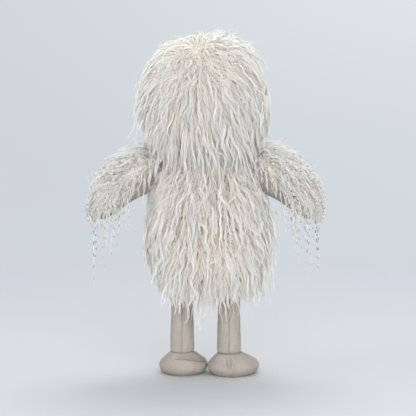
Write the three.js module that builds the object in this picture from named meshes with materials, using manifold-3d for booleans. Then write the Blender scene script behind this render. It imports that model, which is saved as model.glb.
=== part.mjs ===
// Standing plush owl: long-pile head and torso, stuffed flipper wings edged with a thread fringe,
// and woven linen legs on weighted feet. Millimetres, +Z up, origin on the floor between the feet.
// The owl faces -Y, so its left side is at +X.
import * as THREE from 'three';
import { mergeVertices } from 'three/addons/utils/BufferGeometryUtils.js';
import Module from 'manifold-3d';

const wasm = await Module();
wasm.setup();

// Fits and cloth
const clearance = 0.3; // between pieces that touch
const pileDepth = 15; // long-pile fabric from its backing to the outside of its locks
const linenWall = 1.6; // woven linen with its seam allowance

// Torso
const torsoHalfWidth = 77;
const torsoHalfDepth = 66;
const torsoHeight = 161; // hip to neck seam
const torsoWidestHeight = 65; // of the widest girth, above the hip
const torsoTuckBelow = 9; // how far below the hip the lower curve would close
const torsoTuckAbove = 32; // how far above the neck seam the upper curve would close
const torsoLowerFullness = 3;
const torsoUpperFullness = 2.2;
const yokeDepth = 8; // pile pressed down under the head
const baseWall = 1.6;
const baseInset = 3; // the base panel lies inside the pile

// Head
const headHalfWidth = 77;
const headHalfDepth = 70;
const headHeight = 149; // neck seam to crown
const headWidestHeight = 67; // of the widest girth, above the neck seam
const headTuckBelow = 6;
const headLowerFullness = 3;
const headUpperFullness = 2.1;
const napeDepth = 8; // pile pressed down on the shoulders

// Face
const faceHeight = 71; // above the neck seam
const discRadius = 29;
const discDepth = 7;
const discTurn = 22; // degrees from straight ahead
const eyeRadius = 9;
const eyeDome = 6;
const eyeRimDepth = 1.2; // the dome's rim sinks into the felt
const eyeStemRadius = 2.5;
const eyeStemLength = 16;
const washerRadius = 8.5;
const washerDepth = 2;
const beakHalfWidth = 7;
const beakReach = 9;
const beakTip = 16; // from its thickest girth down to the tip
const beakBrow = 9; // from its thickest girth up
const beakDrop = 8; // of its thickest girth below the eyes

// Wings
const shoulderDrop = 9; // below the neck seam
const wingLength = 102;
const wingRootReach = 13; // pressed into the pile behind the shoulder seam
const wingWidest = 50; // from the shoulder
const wingHalfWidth = 32;
const wingHalfThickness = 21.5;
const wingOutlineFullness = 2.6;
const wingSectionFullness = 2.2;
const wingDroopRoot = 24; // degrees below level
const wingDroopTip = 58;
const wingTwist = 18; // the outer face leans back
const wingLowered = 10; // degrees that the wing can be pressed down
const coverWall = 4; // thread-pile fabric
const liningWall = 1.6;

// Fringe
const fringeHeadingRadius = 0.9;
const fringeThreadRadius = 0.6;
const fringeThreads = 21;
const fringeLength = 62;
const fringeVariation = 0.22; // share of the length

// Legs and feet
const hipSpacing = 57;
const legLength = 76; // top of the foot to the hip
const legTopRadius = 13;
const legAnkleRadius = 15.6;
const legSwing = 35; // degrees either way that the hip has room for
const footLength = 76;
const footWidth = 60;
const footHeight = 31;
const footWidestHeight = 10;
const footForward = 16; // sole centre in front of the ankle
const footTuck = 5; // how far below the floor the lower curve would close
const footLowerFullness = 2.2;
const footUpperFullness = 1.8; // the sides slope up to the ankle
const soleWall = 1.6;
const insoleWall = 2;
const stayRadius = 1.5; // wire
const stayTop = 24; // below the hip
const stayLoop = 9; // radius of the loop on the insole
const leftStance = { toeOut: -2, setBack: 0 };
const rightStance = { toeOut: 23, setBack: 7 };

// Facets: sides round each form, and steps along it
const wideSides = 24;
const footSides = 20;
const slimSides = 14;
const cordSegments = 3; // half the sides of a cord
const torsoSteps = 8;
const headSteps = 9;
const beakSteps = 8;
const wingSteps = 10;
const wingSeamSteps = 8;
const footSteps = 6;
const domeSteps = 5;
const staySteps = 22;

// Levels that the pieces share
const hipHeight = footHeight + legLength;
const neckHeight = hipHeight + torsoHeight;
const torsoFloor = hipHeight + baseWall / 2 + clearance;
const radians = THREE.MathUtils.degToRad;
const beyond = 400; // larger than half the owl, for cutting tools
const goldenTurn = Math.PI * (3 - Math.sqrt(5)); // spreads the thread lengths without a pattern

const looks = {
  pile: { color: 0xece7dc, roughness: 0.95, metalness: 0 },
  threadPile: { color: 0xd9d3ca, roughness: 0.95, metalness: 0 },
  linen: { color: 0xc3b7a9, roughness: 0.9, metalness: 0 },
  felt: { color: 0xe2dacb, roughness: 0.95, metalness: 0 },
  beakLinen: { color: 0x9a8672, roughness: 0.85, metalness: 0 },
  filling: { color: 0xf4f3ef, roughness: 1, metalness: 0 },
  board: { color: 0xa58f70, roughness: 0.9, metalness: 0 },
  wire: { color: 0x9a9b9d, roughness: 0.4, metalness: 1 },
  eye: { color: 0x17120f, roughness: 0.08, metalness: 0 },
  washer: { color: 0xe8e6df, roughness: 0.6, metalness: 0 },
};

// A closed geometry as a solid that can be joined and cut
function solid(geometry) {
  const bare = new THREE.BufferGeometry();
  bare.setAttribute('position', geometry.getAttribute('position'));
  if (geometry.index) bare.setIndex(geometry.index);
  const merged = mergeVertices(bare, 1e-3);
  return new wasm.Manifold(
    new wasm.Mesh({
      numProp: 3,
      vertProperties: merged.getAttribute('position').array,
      triVerts: new Uint32Array(merged.index.array),
    }),
  );
}

function geometryOf(body) {
  const made = body.getMesh();
  const geometry = new THREE.BufferGeometry();
  geometry.setAttribute('position', new THREE.BufferAttribute(made.vertProperties, 3));
  geometry.setIndex(new THREE.BufferAttribute(made.triVerts, 1));
  geometry.computeVertexNormals();
  return geometry;
}

function piece(name, body, look) {
  const mesh = new THREE.Mesh(geometryOf(body), new THREE.MeshStandardMaterial(looks[look]));
  mesh.name = name;
  return mesh;
}

// Skins a row of closed outlines, each counter-clockwise seen from the far end, and closes both ends
// on an apex
function skin(outlines, startApex, endApex) {
  const sides = outlines[0].length;
  const middle = (outline) =>
    outline.reduce((sum, point) => sum.add(point), new THREE.Vector3()).divideScalar(sides);
  const start = startApex ?? middle(outlines[0]);
  const end = endApex ?? middle(outlines.at(-1));
  const points = [...outlines.flat(), start, end];
  const startIndex = points.length - 2;
  const endIndex = points.length - 1;
  const lastRow = (outlines.length - 1) * sides;
  const faces = [];
  for (let side = 0; side < sides; side++) {
    const next = (side + 1) % sides;
    faces.push(startIndex, next, side, endIndex, lastRow + side, lastRow + next);
    for (let row = 0; row < lastRow; row += sides) {
      faces.push(row + side, row + next, row + sides + next);
      faces.push(row + side, row + sides + next, row + sides + side);
    }
  }
  return new THREE.BufferGeometry().setFromPoints(points).setIndex(faces);
}

// How full an egg-shaped form is at a level, as a share of its widest girth
function girth(egg, level) {
  const above = level >= egg.widest;
  const reach = above ? egg.top - egg.widest : egg.widest - egg.bottom;
  const fullness = above ? egg.upperFullness : egg.lowerFullness;
  const share = Math.min(Math.abs(level - egg.widest) / reach, 1);
  return (1 - share ** fullness) ** (1 / fullness);
}

// Levels between two ends of an egg, closer together where its outline turns in
function eggLevels(egg, from, to, count) {
  const angle = (level) => {
    const reach = level >= egg.widest ? egg.top - egg.widest : egg.widest - egg.bottom;
    return Math.asin(THREE.MathUtils.clamp((level - egg.widest) / reach, -1, 1));
  };
  const first = angle(from);
  const step = (angle(to) - first) / count;
  return Array.from({ length: count + 1 }, (_, i) => {
    const sine = Math.sin(first + i * step);
    return egg.widest + sine * (sine >= 0 ? egg.top - egg.widest : egg.widest - egg.bottom);
  });
}

// An upright egg-shaped form between two levels, with its centre moved along Y by a function of the level
function eggForm(egg, halfWidth, halfDepth, from, to, count, sides, centreY = () => 0) {
  const outlines = [];
  for (const level of eggLevels(egg, from, to, count)) {
    const share = girth(egg, level);
    if (share < 0.02) continue;
    const outline = Array.from({ length: sides }, (_, i) => {
      const turn = (2 * Math.PI * i) / sides;
      return new THREE.Vector3(
        halfWidth * share * Math.cos(turn),
        centreY(level) + halfDepth * share * Math.sin(turn),
        level,
      );
    });
    outlines.push(outline);
  }
  return solid(
    skin(outlines, new THREE.Vector3(0, centreY(from), from), new THREE.Vector3(0, centreY(to), to)),
  );
}

function box(low, high) {
  const size = high.clone().sub(low);
  const centre = low.clone().add(high).divideScalar(2);
  const geometry = new THREE.BoxGeometry(size.x, size.y, size.z);
  return solid(geometry.translate(centre.x, centre.y, centre.z));
}

// A turned form: its profile starts and ends on the axis, which lies along Z
function turned(profile, sides) {
  const points = profile.map(([radius, height]) => new THREE.Vector2(radius, height));
  return new THREE.LatheGeometry(points, sides).rotateX(Math.PI / 2);
}

// The rounded end of a turned profile, from its rim at height zero up to the axis
function domeProfile(radius, height) {
  const turns = Array.from({ length: domeSteps }, (_, i) => (i * Math.PI) / 2 / domeSteps);
  const rim = turns.map((turn) => [radius * Math.cos(turn), height * Math.sin(turn)]);
  return [...rim, [0, height]];
}

// How much larger a faceted round tool has to be to clear a true circle
function roundUp(sides) {
  return 1 / Math.cos(Math.PI / sides);
}

// The other side's copy of a body, and a body with that copy
function mirrored(body) {
  const geometry = geometryOf(body).applyMatrix4(new THREE.Matrix4().makeScale(-1, 1, 1));
  geometry.setIndex(Array.from(geometry.index.array).reverse());
  return solid(geometry);
}

function both(body) {
  return body.add(mirrored(body));
}

// What a body holds between two levels
function between(body, low, high) {
  return body.intersect(
    box(new THREE.Vector3(-beyond, -beyond, low), new THREE.Vector3(beyond, beyond, high)),
  );
}

const backHalf = box(
  new THREE.Vector3(-beyond, clearance / 2, -beyond),
  new THREE.Vector3(beyond, beyond, 2 * beyond),
);
const frontHalf = box(
  new THREE.Vector3(-beyond, -beyond, -beyond),
  new THREE.Vector3(beyond, -clearance / 2, 2 * beyond),
);

// Wing, in a frame with its origin on the shoulder seam and +X outwards
const droopArc = radians(wingDroopTip - wingDroopRoot);
const droopRadius = wingLength / droopArc;
const wingOutline = {
  bottom: -wingRootReach,
  widest: wingWidest,
  top: wingLength,
  lowerFullness: wingOutlineFullness,
  upperFullness: wingOutlineFullness,
};
const wingSection = { ...wingOutline, lowerFullness: 2, upperFullness: wingSectionFullness };

// Where the wing's middle line is at a distance from the shoulder, and which way its section faces
function wingFrame(distance) {
  const droop = radians(wingDroopRoot) + distance / droopRadius;
  const along = new THREE.Vector3(Math.cos(droop), 0, -Math.sin(droop));
  const twist = (radians(wingTwist) * distance) / wingLength;
  const across = new THREE.Vector3(0, 1, 0).applyAxisAngle(along, -twist);
  const up = along.clone().cross(across);
  const centre = new THREE.Vector3(
    droopRadius * (Math.sin(droop) - Math.sin(radians(wingDroopRoot))),
    0,
    droopRadius * (Math.cos(droop) - Math.cos(radians(wingDroopRoot))),
  );
  return { centre, along, across, up };
}

function wingPoint(distance, acrossBy, upBy) {
  const { centre, across, up } = wingFrame(distance);
  return centre.addScaledVector(across, acrossBy).addScaledVector(up, upBy);
}

// The wing's stuffed form, drawn in evenly on every side
function wingForm(inset) {
  const shrink = (egg) => ({ ...egg, bottom: egg.bottom + inset, top: egg.top - inset });
  const outlineEgg = shrink(wingOutline);
  const sectionEgg = shrink(wingSection);
  const { bottom, top } = outlineEgg;
  const outlines = eggLevels(outlineEgg, bottom, top, wingSteps)
    .slice(1, -1)
    .map((distance) => {
      const halfWidth = (wingHalfWidth - inset) * girth(outlineEgg, distance);
      const halfThickness = (wingHalfThickness - inset) * girth(sectionEgg, distance);
      return Array.from({ length: slimSides }, (_, i) => {
        const turn = (2 * Math.PI * i) / slimSides;
        return wingPoint(distance, halfWidth * Math.cos(turn), halfThickness * Math.sin(turn));
      });
    });
  return solid(skin(outlines, wingPoint(bottom, 0, 0), wingPoint(top, 0, 0)));
}

// Everything on one face of the wing's edge seam
function wingFace(low, high) {
  const reach = 2 * wingHalfWidth;
  const corners = [
    [-reach, low],
    [reach, low],
    [reach, high],
    [-reach, high],
  ];
  const from = -2 * wingRootReach;
  const step = (wingLength + wingRootReach - from) / wingSeamSteps;
  const outlines = Array.from({ length: wingSeamSteps + 1 }, (_, i) =>
    corners.map(([acrossBy, upBy]) => wingPoint(from + i * step, acrossBy, upBy)),
  );
  return solid(skin(outlines));
}

// Threads that hang from a heading round the wing's edge seam, from its widest part to the tip
function wingFringe() {
  const off = clearance + fringeHeadingRadius;
  const power = 2 / wingOutlineFullness;
  const edgePoint = (turn) => {
    const reach = (wingLength - wingWidest + off) * Math.cos(turn) ** power;
    const acrossBy = (wingHalfWidth + off) * Math.abs(Math.sin(turn)) ** power * Math.sign(turn);
    return wingPoint(wingWidest + reach, acrossBy, 0);
  };
  const endTurn = Math.PI / 2 - 0.02;
  const turns = Array.from(
    { length: fringeThreads },
    (_, i) => endTurn * ((2 * i) / (fringeThreads - 1) - 1),
  );
  const route = new THREE.CatmullRomCurve3(turns.map(edgePoint));
  const section = new THREE.Shape().absarc(0, 0, fringeHeadingRadius, 0, 2 * Math.PI);
  const heading = new THREE.ExtrudeGeometry(section, {
    steps: fringeThreads - 1,
    curveSegments: cordSegments,
    bevelEnabled: false,
    extrudePath: route,
  });
  let fringe = solid(heading);
  turns.forEach((turn, i) => {
    const length = fringeLength * (1 + fringeVariation * Math.sin(goldenTurn * i));
    const thread = new THREE.CylinderGeometry(fringeThreadRadius, fringeThreadRadius, length, 4);
    const at = edgePoint(turn);
    thread.rotateX(Math.PI / 2).translate(at.x, at.y, at.z - length / 2);
    fringe = fringe.add(solid(thread));
  });
  return fringe;
}

function wingPieces() {
  const skinOf = (wall) => wingForm(0).subtract(wingForm(wall));
  const reach = 2 * wingHalfThickness;
  const aboveSeam = wingFace(clearance / 2, reach);
  const fromSeam = wingFace(-clearance / 2, reach);
  return {
    cover: skinOf(coverWall).intersect(aboveSeam),
    lining: skinOf(liningWall).subtract(fromSeam),
    stuffing: wingForm(coverWall + clearance).add(wingForm(liningWall + clearance).subtract(fromSeam)),
    fringe: wingFringe(),
  };
}

// Torso
const torsoEgg = {
  bottom: hipHeight - torsoTuckBelow,
  widest: hipHeight + torsoWidestHeight,
  top: neckHeight + torsoTuckAbove,
  lowerFullness: torsoLowerFullness,
  upperFullness: torsoUpperFullness,
};
const shoulderHeight = neckHeight - shoulderDrop;
const shoulder = new THREE.Vector3(
  torsoHalfWidth * girth(torsoEgg, shoulderHeight),
  0,
  shoulderHeight,
);
const legs = [
  { side: 'left', x: hipSpacing / 2, ...leftStance },
  { side: 'right', x: -hipSpacing / 2, ...rightStance },
];
const legRoom = legTopRadius / Math.cos(radians(legSwing)) + clearance;

function torsoForm(inset, from, to) {
  const egg = { ...torsoEgg, top: torsoEgg.top - inset };
  return eggForm(egg, torsoHalfWidth - inset, torsoHalfDepth - inset, from, to, torsoSteps, wideSides);
}

// The room that a pressed-down wing and its turning root take in the pile
function wingRoom() {
  const rootThickness = wingHalfThickness * girth(wingSection, 0);
  const radius = (Math.max(wingRootReach, rootThickness) + clearance) * roundUp(slimSides);
  const length = 2 * (wingHalfWidth * girth(wingOutline, 0) + clearance);
  const root = solid(new THREE.CylinderGeometry(radius, radius, length, slimSides));
  const swing = new THREE.Matrix4().makeRotationY(radians(wingLowered));
  const pressed = geometryOf(wingForm(-2 * clearance)).applyMatrix4(swing);
  const left = geometryOf(root.add(solid(pressed))).translate(shoulder.x, shoulder.y, shoulder.z);
  return both(solid(left));
}

function torsoPieces() {
  const top = neckHeight - clearance / 2;
  const innerTop = neckHeight - yokeDepth;
  const sockets = legs
    .map(({ x, setBack }) => {
      const room = new THREE.SphereGeometry(roundUp(footSides) ** 2, footSides, footSides / 2);
      room.scale(legTopRadius + clearance, legRoom, legRoom).translate(x, setBack, hipHeight);
      return solid(room);
    })
    .reduce((all, room) => all.add(room));
  const hollow = torsoForm(pileDepth, torsoFloor - yokeDepth, innerTop);
  const pile = torsoForm(0, torsoFloor, top).subtract(hollow).subtract(wingRoom()).subtract(sockets);
  const filling = torsoForm(pileDepth + clearance, torsoFloor - yokeDepth, innerTop);
  const stuffing = between(filling, torsoFloor, innerTop - clearance);

  const baseShare = girth(torsoEgg, torsoFloor);
  const base = new THREE.CylinderGeometry(1, 1, baseWall, wideSides).rotateX(Math.PI / 2);
  base.scale(torsoHalfWidth * baseShare - baseInset, torsoHalfDepth * baseShare - baseInset, 1);
  base.translate(0, 0, hipHeight);
  const slotReach = legRoom + baseWall * Math.tan(radians(legSwing));
  let panel = solid(base);
  for (const { x, setBack } of legs) {
    const slot = new THREE.CylinderGeometry(1, 1, 4 * baseWall, footSides).rotateX(Math.PI / 2);
    slot.scale((legTopRadius + clearance) * roundUp(footSides), slotReach * roundUp(footSides), 1);
    panel = panel.subtract(solid(slot.translate(x, setBack, hipHeight)));
  }
  return [
    piece('torso_back_pile', pile.intersect(backHalf), 'pile'),
    piece('torso_front_pile', pile.intersect(frontHalf), 'pile'),
    piece('torso_stuffing', stuffing.subtract(sockets), 'filling'),
    piece('torso_base_panel', panel, 'linen'),
  ];
}

// Head
const headEgg = {
  bottom: neckHeight - headTuckBelow,
  widest: neckHeight + headWidestHeight,
  top: neckHeight + headHeight,
  lowerFullness: headLowerFullness,
  upperFullness: headUpperFullness,
};
const faceLevel = neckHeight + faceHeight;

// The head's form at a distance outside its backing
function headForm(outside, from) {
  const inset = pileDepth - outside;
  const egg = { ...headEgg, top: headEgg.top - inset };
  const halfWidth = headHalfWidth - inset;
  const halfDepth = headHalfDepth - inset;
  return eggForm(egg, halfWidth, halfDepth, from, egg.top, headSteps, wideSides);
}

// How far the head's backing is from its middle at eye level, in the direction that a disc faces
function faceReach(outside, turn) {
  const inset = pileDepth - outside;
  const share = girth({ ...headEgg, top: headEgg.top - inset }, faceLevel);
  const halfWidth = (headHalfWidth - inset) * share;
  const halfDepth = (headHalfDepth - inset) * share;
  return 1 / Math.hypot(Math.sin(turn) / halfWidth, Math.cos(turn) / halfDepth);
}

// Left side's eye frame: +Z of a turned piece points out of the disc, with the disc's face at zero
const eyeFrame = new THREE.Matrix4()
  .makeTranslation(0, 0, faceLevel)
  .multiply(new THREE.Matrix4().makeRotationZ(radians(discTurn)))
  .multiply(new THREE.Matrix4().makeTranslation(0, -faceReach(discDepth, radians(discTurn)), 0))
  .multiply(new THREE.Matrix4().makeRotationX(Math.PI / 2));

function inEyeFrame(geometry) {
  return solid(geometry.applyMatrix4(eyeFrame));
}

function eyeForm(grown) {
  const profile = [
    [0, -eyeStemLength - grown],
    [eyeStemRadius + grown, -eyeStemLength - grown],
    [eyeStemRadius + grown, -eyeRimDepth - grown],
    [eyeRadius + grown, -eyeRimDepth - grown],
    ...domeProfile(eyeRadius + grown, eyeDome + grown),
  ];
  return inEyeFrame(turned(profile, slimSides));
}

// The lock washer lies behind the disc, a little into the back of the felt
const washerTop = -discDepth - clearance;

function washerForm() {
  const bore = eyeStemRadius + clearance;
  const bottom = washerTop - washerDepth;
  const ring = [
    [bore, bottom],
    [washerRadius, bottom],
    [washerRadius, washerTop],
    [bore, washerTop],
    [bore, bottom],
  ];
  return inEyeFrame(turned(ring, slimSides));
}

function washerRoom(top) {
  const rim = washerRadius + clearance;
  const bottom = washerTop - washerDepth - clearance;
  return inEyeFrame(turned([[0, bottom], [rim, bottom], [rim, top], [0, top]], slimSides));
}

function discForm(grown) {
  const tool = new THREE.CylinderGeometry(discRadius + grown, discRadius + grown, beyond, wideSides);
  return inEyeFrame(tool.rotateX(Math.PI / 2).translate(0, 0, beyond / 2 - 3 * discDepth));
}

function beakForm(grown) {
  const widest = faceLevel - beakDrop;
  const egg = {
    bottom: widest - beakTip - 2 * grown,
    widest,
    top: widest + beakBrow + grown,
    lowerFullness: 1.5,
    upperFullness: 2,
  };
  const centreY = () => -faceReach(discDepth, 0);
  const { bottom, top } = egg;
  return eggForm(egg, beakHalfWidth + grown, beakReach + grown, bottom, top, beakSteps, slimSides, centreY);
}

function headPieces() {
  const floor = neckHeight + clearance / 2;
  const innerFloor = neckHeight + napeDepth;
  const leftHalf = box(
    new THREE.Vector3(clearance / 2, -beyond, 0),
    new THREE.Vector3(beyond, beyond, 2 * beyond),
  );
  const pile = headForm(pileDepth, floor).subtract(headForm(0, innerFloor));
  const faceRoom = both(discForm(clearance)).add(beakForm(clearance));
  const eyeRoom = eyeForm(clearance);
  const padding = headForm(discDepth, innerFloor).subtract(headForm(0, innerFloor));
  const disc = padding
    .intersect(discForm(0))
    .intersect(leftHalf)
    .subtract(eyeRoom)
    .subtract(washerRoom(washerTop + clearance));
  const stuffing = between(headForm(-clearance, innerFloor), innerFloor + clearance, beyond + neckHeight)
    .subtract(both(eyeRoom))
    .subtract(both(washerRoom(0)));

  const beak = beakForm(0).subtract(headForm(discDepth + clearance, innerFloor));
  const pieces = [
    piece('head_back_pile', pile.intersect(backHalf), 'pile'),
    piece('head_front_pile', pile.intersect(frontHalf).subtract(faceRoom), 'pile'),
    piece('head_stuffing', stuffing, 'filling'),
    piece('beak', beak, 'beakLinen'),
  ];
  const eye = eyeForm(0);
  const washer = washerForm();
  const sides = [
    { side: 'left', place: (body) => body },
    { side: 'right', place: mirrored },
  ];
  for (const { side, place } of sides) {
    pieces.push(piece(`${side}_face_disc`, place(disc), 'felt'));
    pieces.push(piece(`${side}_eye`, place(eye), 'eye'));
    pieces.push(piece(`${side}_eye_washer`, place(washer), 'washer'));
  }
  return pieces;
}

// Leg and foot, in a frame with its origin on the hip and the toes towards -Y
const floorLevel = -hipHeight;
const footEgg = {
  bottom: floorLevel - footTuck,
  widest: floorLevel + footWidestHeight,
  top: floorLevel + footHeight,
  lowerFullness: footLowerFullness,
  upperFullness: footUpperFullness,
};

// The foot leans back towards the ankle as it rises
function footCentre(level) {
  const rise = THREE.MathUtils.clamp((level - floorLevel) / footHeight, 0, 1);
  return -footForward * (1 - rise ** 1.5);
}

function footForm(inset, from, to) {
  const egg = { ...footEgg, top: footEgg.top - inset };
  const halfWidth = footWidth / 2 - inset;
  const halfLength = footLength / 2 - inset;
  return eggForm(egg, halfWidth, halfLength, from, to ?? egg.top, footSteps, footSides, footCentre);
}

function legForm(inset, bottom) {
  const radius = legTopRadius - inset;
  const profile = [[0, bottom], [legAnkleRadius - inset, bottom], ...domeProfile(radius, radius)];
  return solid(turned(profile, slimSides));
}

// The wire stay runs down the leg and curls round on the insole
function stayForm(radius, lengthened) {
  const rest = floorLevel + soleWall + insoleWall + 3 * clearance + stayRadius;
  const loop = Array.from({ length: 7 }, (_, i) => {
    const turn = -Math.PI / 2 + (i * Math.PI * 1.5) / 6;
    return new THREE.Vector3(
      stayLoop * Math.cos(turn),
      -2 * stayLoop - stayLoop * Math.sin(turn),
      rest,
    );
  });
  const route = new THREE.CatmullRomCurve3([
    new THREE.Vector3(0, 0, -stayTop + lengthened),
    new THREE.Vector3(0, 0, (rest - stayTop) / 2),
    new THREE.Vector3(0, 0, rest + 2 * stayLoop),
    new THREE.Vector3(0, -stayLoop / 4, rest + stayLoop / 2),
    ...loop,
  ]);
  const section = new THREE.Shape().absarc(0, 0, radius, 0, 2 * Math.PI);
  return solid(
    new THREE.ExtrudeGeometry(section, {
      steps: staySteps,
      curveSegments: cordSegments,
      bevelEnabled: false,
      extrudePath: route,
    }),
  );
}

function legPieces() {
  const upperFloor = floorLevel + soleWall + clearance;
  const insoleFloor = upperFloor;
  const fillingFloor = insoleFloor + insoleWall + clearance;
  const ankle = new THREE.CylinderGeometry(1, 1, legLength, slimSides).rotateX(Math.PI / 2);
  ankle.scale(legAnkleRadius - linenWall, legAnkleRadius - linenWall, 1).translate(0, 0, -legLength);
  const outsideFoot = footForm(-clearance, floorLevel);
  const wireRoom = stayForm(stayRadius + clearance, 2 * clearance);
  const bottom = floorLevel + footWidestHeight;
  const sleeve = legForm(0, bottom).subtract(legForm(linenWall, bottom - clearance));
  const stuffing = legForm(linenWall + clearance, bottom);
  const upper = footForm(0, upperFloor).subtract(footForm(linenWall, upperFloor - clearance));
  const insoleTop = insoleFloor + insoleWall;
  const filling = footForm(linenWall + clearance, upperFloor - clearance);
  return {
    leg_sleeve: [sleeve.subtract(outsideFoot), 'linen'],
    leg_stuffing: [stuffing.subtract(outsideFoot).subtract(wireRoom), 'filling'],
    leg_stay: [stayForm(stayRadius, 0), 'wire'],
    foot_upper: [upper.subtract(solid(ankle)), 'linen'],
    foot_sole: [footForm(0, floorLevel, floorLevel + soleWall), 'linen'],
    foot_insole: [between(filling, insoleFloor, insoleTop), 'board'],
    foot_weight: [between(filling, fillingFloor, 0).subtract(wireRoom), 'filling'],
  };
}

const owl = new THREE.Group();
owl.add(...torsoPieces(), ...headPieces());

const wing = wingPieces();
for (const [side, mirror] of [['left', 1], ['right', -1]]) {
  const group = new THREE.Group();
  group.name = `${side}_shoulder`;
  group.position.set(mirror * shoulder.x, shoulder.y, shoulder.z);
  group.scale.x = mirror;
  group.add(
    piece(`${side}_wing_cover`, wing.cover, 'threadPile'),
    piece(`${side}_wing_lining`, wing.lining, 'linen'),
    piece(`${side}_wing_stuffing`, wing.stuffing, 'filling'),
    piece(`${side}_wing_fringe`, wing.fringe, 'threadPile'),
  );
  owl.add(group);
}

const leg = legPieces();
for (const { side, x, toeOut, setBack } of legs) {
  const group = new THREE.Group();
  group.name = `${side}_hip`;
  group.position.set(x, setBack, hipHeight);
  group.rotation.z = radians(toeOut) * Math.sign(x);
  for (const [name, [body, look]] of Object.entries(leg)) group.add(piece(`${side}_${name}`, body, look));
  owl.add(group);
}

export default owl;
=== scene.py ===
# %% [markdown]
# # A shaggy plush owl, seen from behind
# The owl is a stuffed toy. Its head and torso are sewn from long-pile fabric whose wavy locks hang down, its
# wings are covered with a hairy flecked yarn and edged with loose threads, and its legs and feet are linen.
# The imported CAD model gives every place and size, so each soft piece below repeats the sizes of the solid
# that it stands for, in metres, and sits at the origin with its place in its mesh.

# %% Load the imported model
import math

import bmesh
import bpy
import numpy as np
from mathutils import Matrix, Vector, noise


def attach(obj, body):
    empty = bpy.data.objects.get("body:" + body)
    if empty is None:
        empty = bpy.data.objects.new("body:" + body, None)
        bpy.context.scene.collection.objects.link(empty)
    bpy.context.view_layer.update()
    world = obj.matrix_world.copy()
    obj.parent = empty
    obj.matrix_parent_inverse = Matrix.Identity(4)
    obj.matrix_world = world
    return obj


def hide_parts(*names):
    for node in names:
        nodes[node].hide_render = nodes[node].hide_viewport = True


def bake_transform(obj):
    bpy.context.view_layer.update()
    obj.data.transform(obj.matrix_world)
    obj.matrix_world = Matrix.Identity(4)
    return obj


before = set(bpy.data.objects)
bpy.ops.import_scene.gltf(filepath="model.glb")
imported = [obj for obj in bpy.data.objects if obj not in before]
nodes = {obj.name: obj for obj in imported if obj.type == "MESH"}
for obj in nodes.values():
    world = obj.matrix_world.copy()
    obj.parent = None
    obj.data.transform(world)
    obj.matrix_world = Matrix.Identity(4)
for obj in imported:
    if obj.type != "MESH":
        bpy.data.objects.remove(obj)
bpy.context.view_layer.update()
scene = bpy.context.scene
mm = 0.001
signs = {"left": 1, "right": -1}  # the owl's left is at +X

# %% [markdown]
# ## Camera, paper sweep and light
# The photograph was taken from behind the owl with a long lens, a little above its middle, in front of a
# seamless sheet of pale blue-grey paper. Paper that curves up has no edge between floor and wall; here it is
# turned all round the owl, so that it can be looked at from every side. Far away its colour is shown to the
# camera alone, which keeps it pale without putting light on the owl. Near the feet it is lit, so that they
# cast their shadow.

# %% Camera
lens, camera_distance, camera_level, aim_level, off_centre = 107, 1.5, 0.30, 0.2038, -0.003
camera_data = bpy.data.cameras.new("camera")
camera_data.lens = lens
camera = bpy.data.objects.new("camera", camera_data)
scene.collection.objects.link(camera)
camera.location = (off_centre, camera_distance, camera_level)
aim = Vector((off_centre, 0, aim_level))
camera.rotation_euler = (aim - camera.location).to_track_quat("-Z", "Y").to_euler()
scene.camera = camera
down_by = math.degrees(math.atan2(camera_level - aim_level, camera_distance))
print("camera looks down by", round(down_by, 1), "degrees")


# %% [markdown]
# ## A short way to write node trees
# Materials and the hair are both node trees. This small helper adds a node, sets its options and feeds its
# open sockets in order, from a number or from another node, so that a tree reads like a calculation.

# %% Node helper
class Graph:
    def __init__(self, tree):
        self.tree = tree

    def feed(self, socket, value):
        if isinstance(value, bpy.types.NodeSocket):
            self.tree.links.new(value, socket)
        elif value is not None:
            socket.default_value = value

    def add(self, kind, *values, into=None, **options):
        made = self.tree.nodes.new(kind)
        for option, value in options.items():
            setattr(made, option, value)
        open_sockets = [socket for socket in made.inputs if socket.enabled]
        for socket, value in zip(open_sockets, values):
            self.feed(socket, value)
        for name, value in (into or {}).items():
            self.feed(next(socket for socket in open_sockets if socket.name == name), value)
        return next(socket for socket in made.outputs if socket.enabled)

    def math(self, operation, *values, clamp=False):
        return self.add("ShaderNodeMath", *values, operation=operation, use_clamp=clamp)

    def vector(self, operation, *values):
        return self.add("ShaderNodeVectorMath", *values, operation=operation)

    def times(self, value, *others):
        for other in others:
            value = self.math("MULTIPLY", value, other)
        return value

    def smooth(self, value, low, high):
        return self.add("ShaderNodeMapRange", value, low, high, 0.0, 1.0, interpolation_type="SMOOTHSTEP")

    def mix(self, kind, share, first, second):
        return self.add("ShaderNodeMix", data_type=kind, into={"Factor": share, "A": first, "B": second})

    def colours(self, share, first, second):
        return self.mix("RGBA", share, first, second)

    def place(self):
        return self.add("ShaderNodeTexCoord").node.outputs["Object"]

    def attribute(self, name):
        return self.add("ShaderNodeAttribute", attribute_name=name).node.outputs["Fac"]

    def noise(self, place, scale, detail):
        return self.add("ShaderNodeTexNoise", place, into={"Scale": scale, "Detail": detail})

    def bump(self, height, strength, distance, **options):
        into = {"Strength": strength, "Distance": distance, "Height": height}
        return self.add("ShaderNodeBump", into=into, **options)


def colour(red, green, blue):
    """A colour as the eye reads it on a screen, from 0 to 255, as the linear light that nodes work in."""
    shares = np.array([red, green, blue]) / 255
    linear = np.where(shares <= 0.04045, shares / 12.92, ((shares + 0.055) / 1.055) ** 2.4)
    return (*[float(part) for part in linear], 1.0)


def new_material(name):
    material = bpy.data.materials.new(name)
    material.use_nodes = True
    material.node_tree.nodes.clear()
    graph = Graph(material.node_tree)
    output = material.node_tree.nodes.new("ShaderNodeOutputMaterial")
    return material, graph, output


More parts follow.
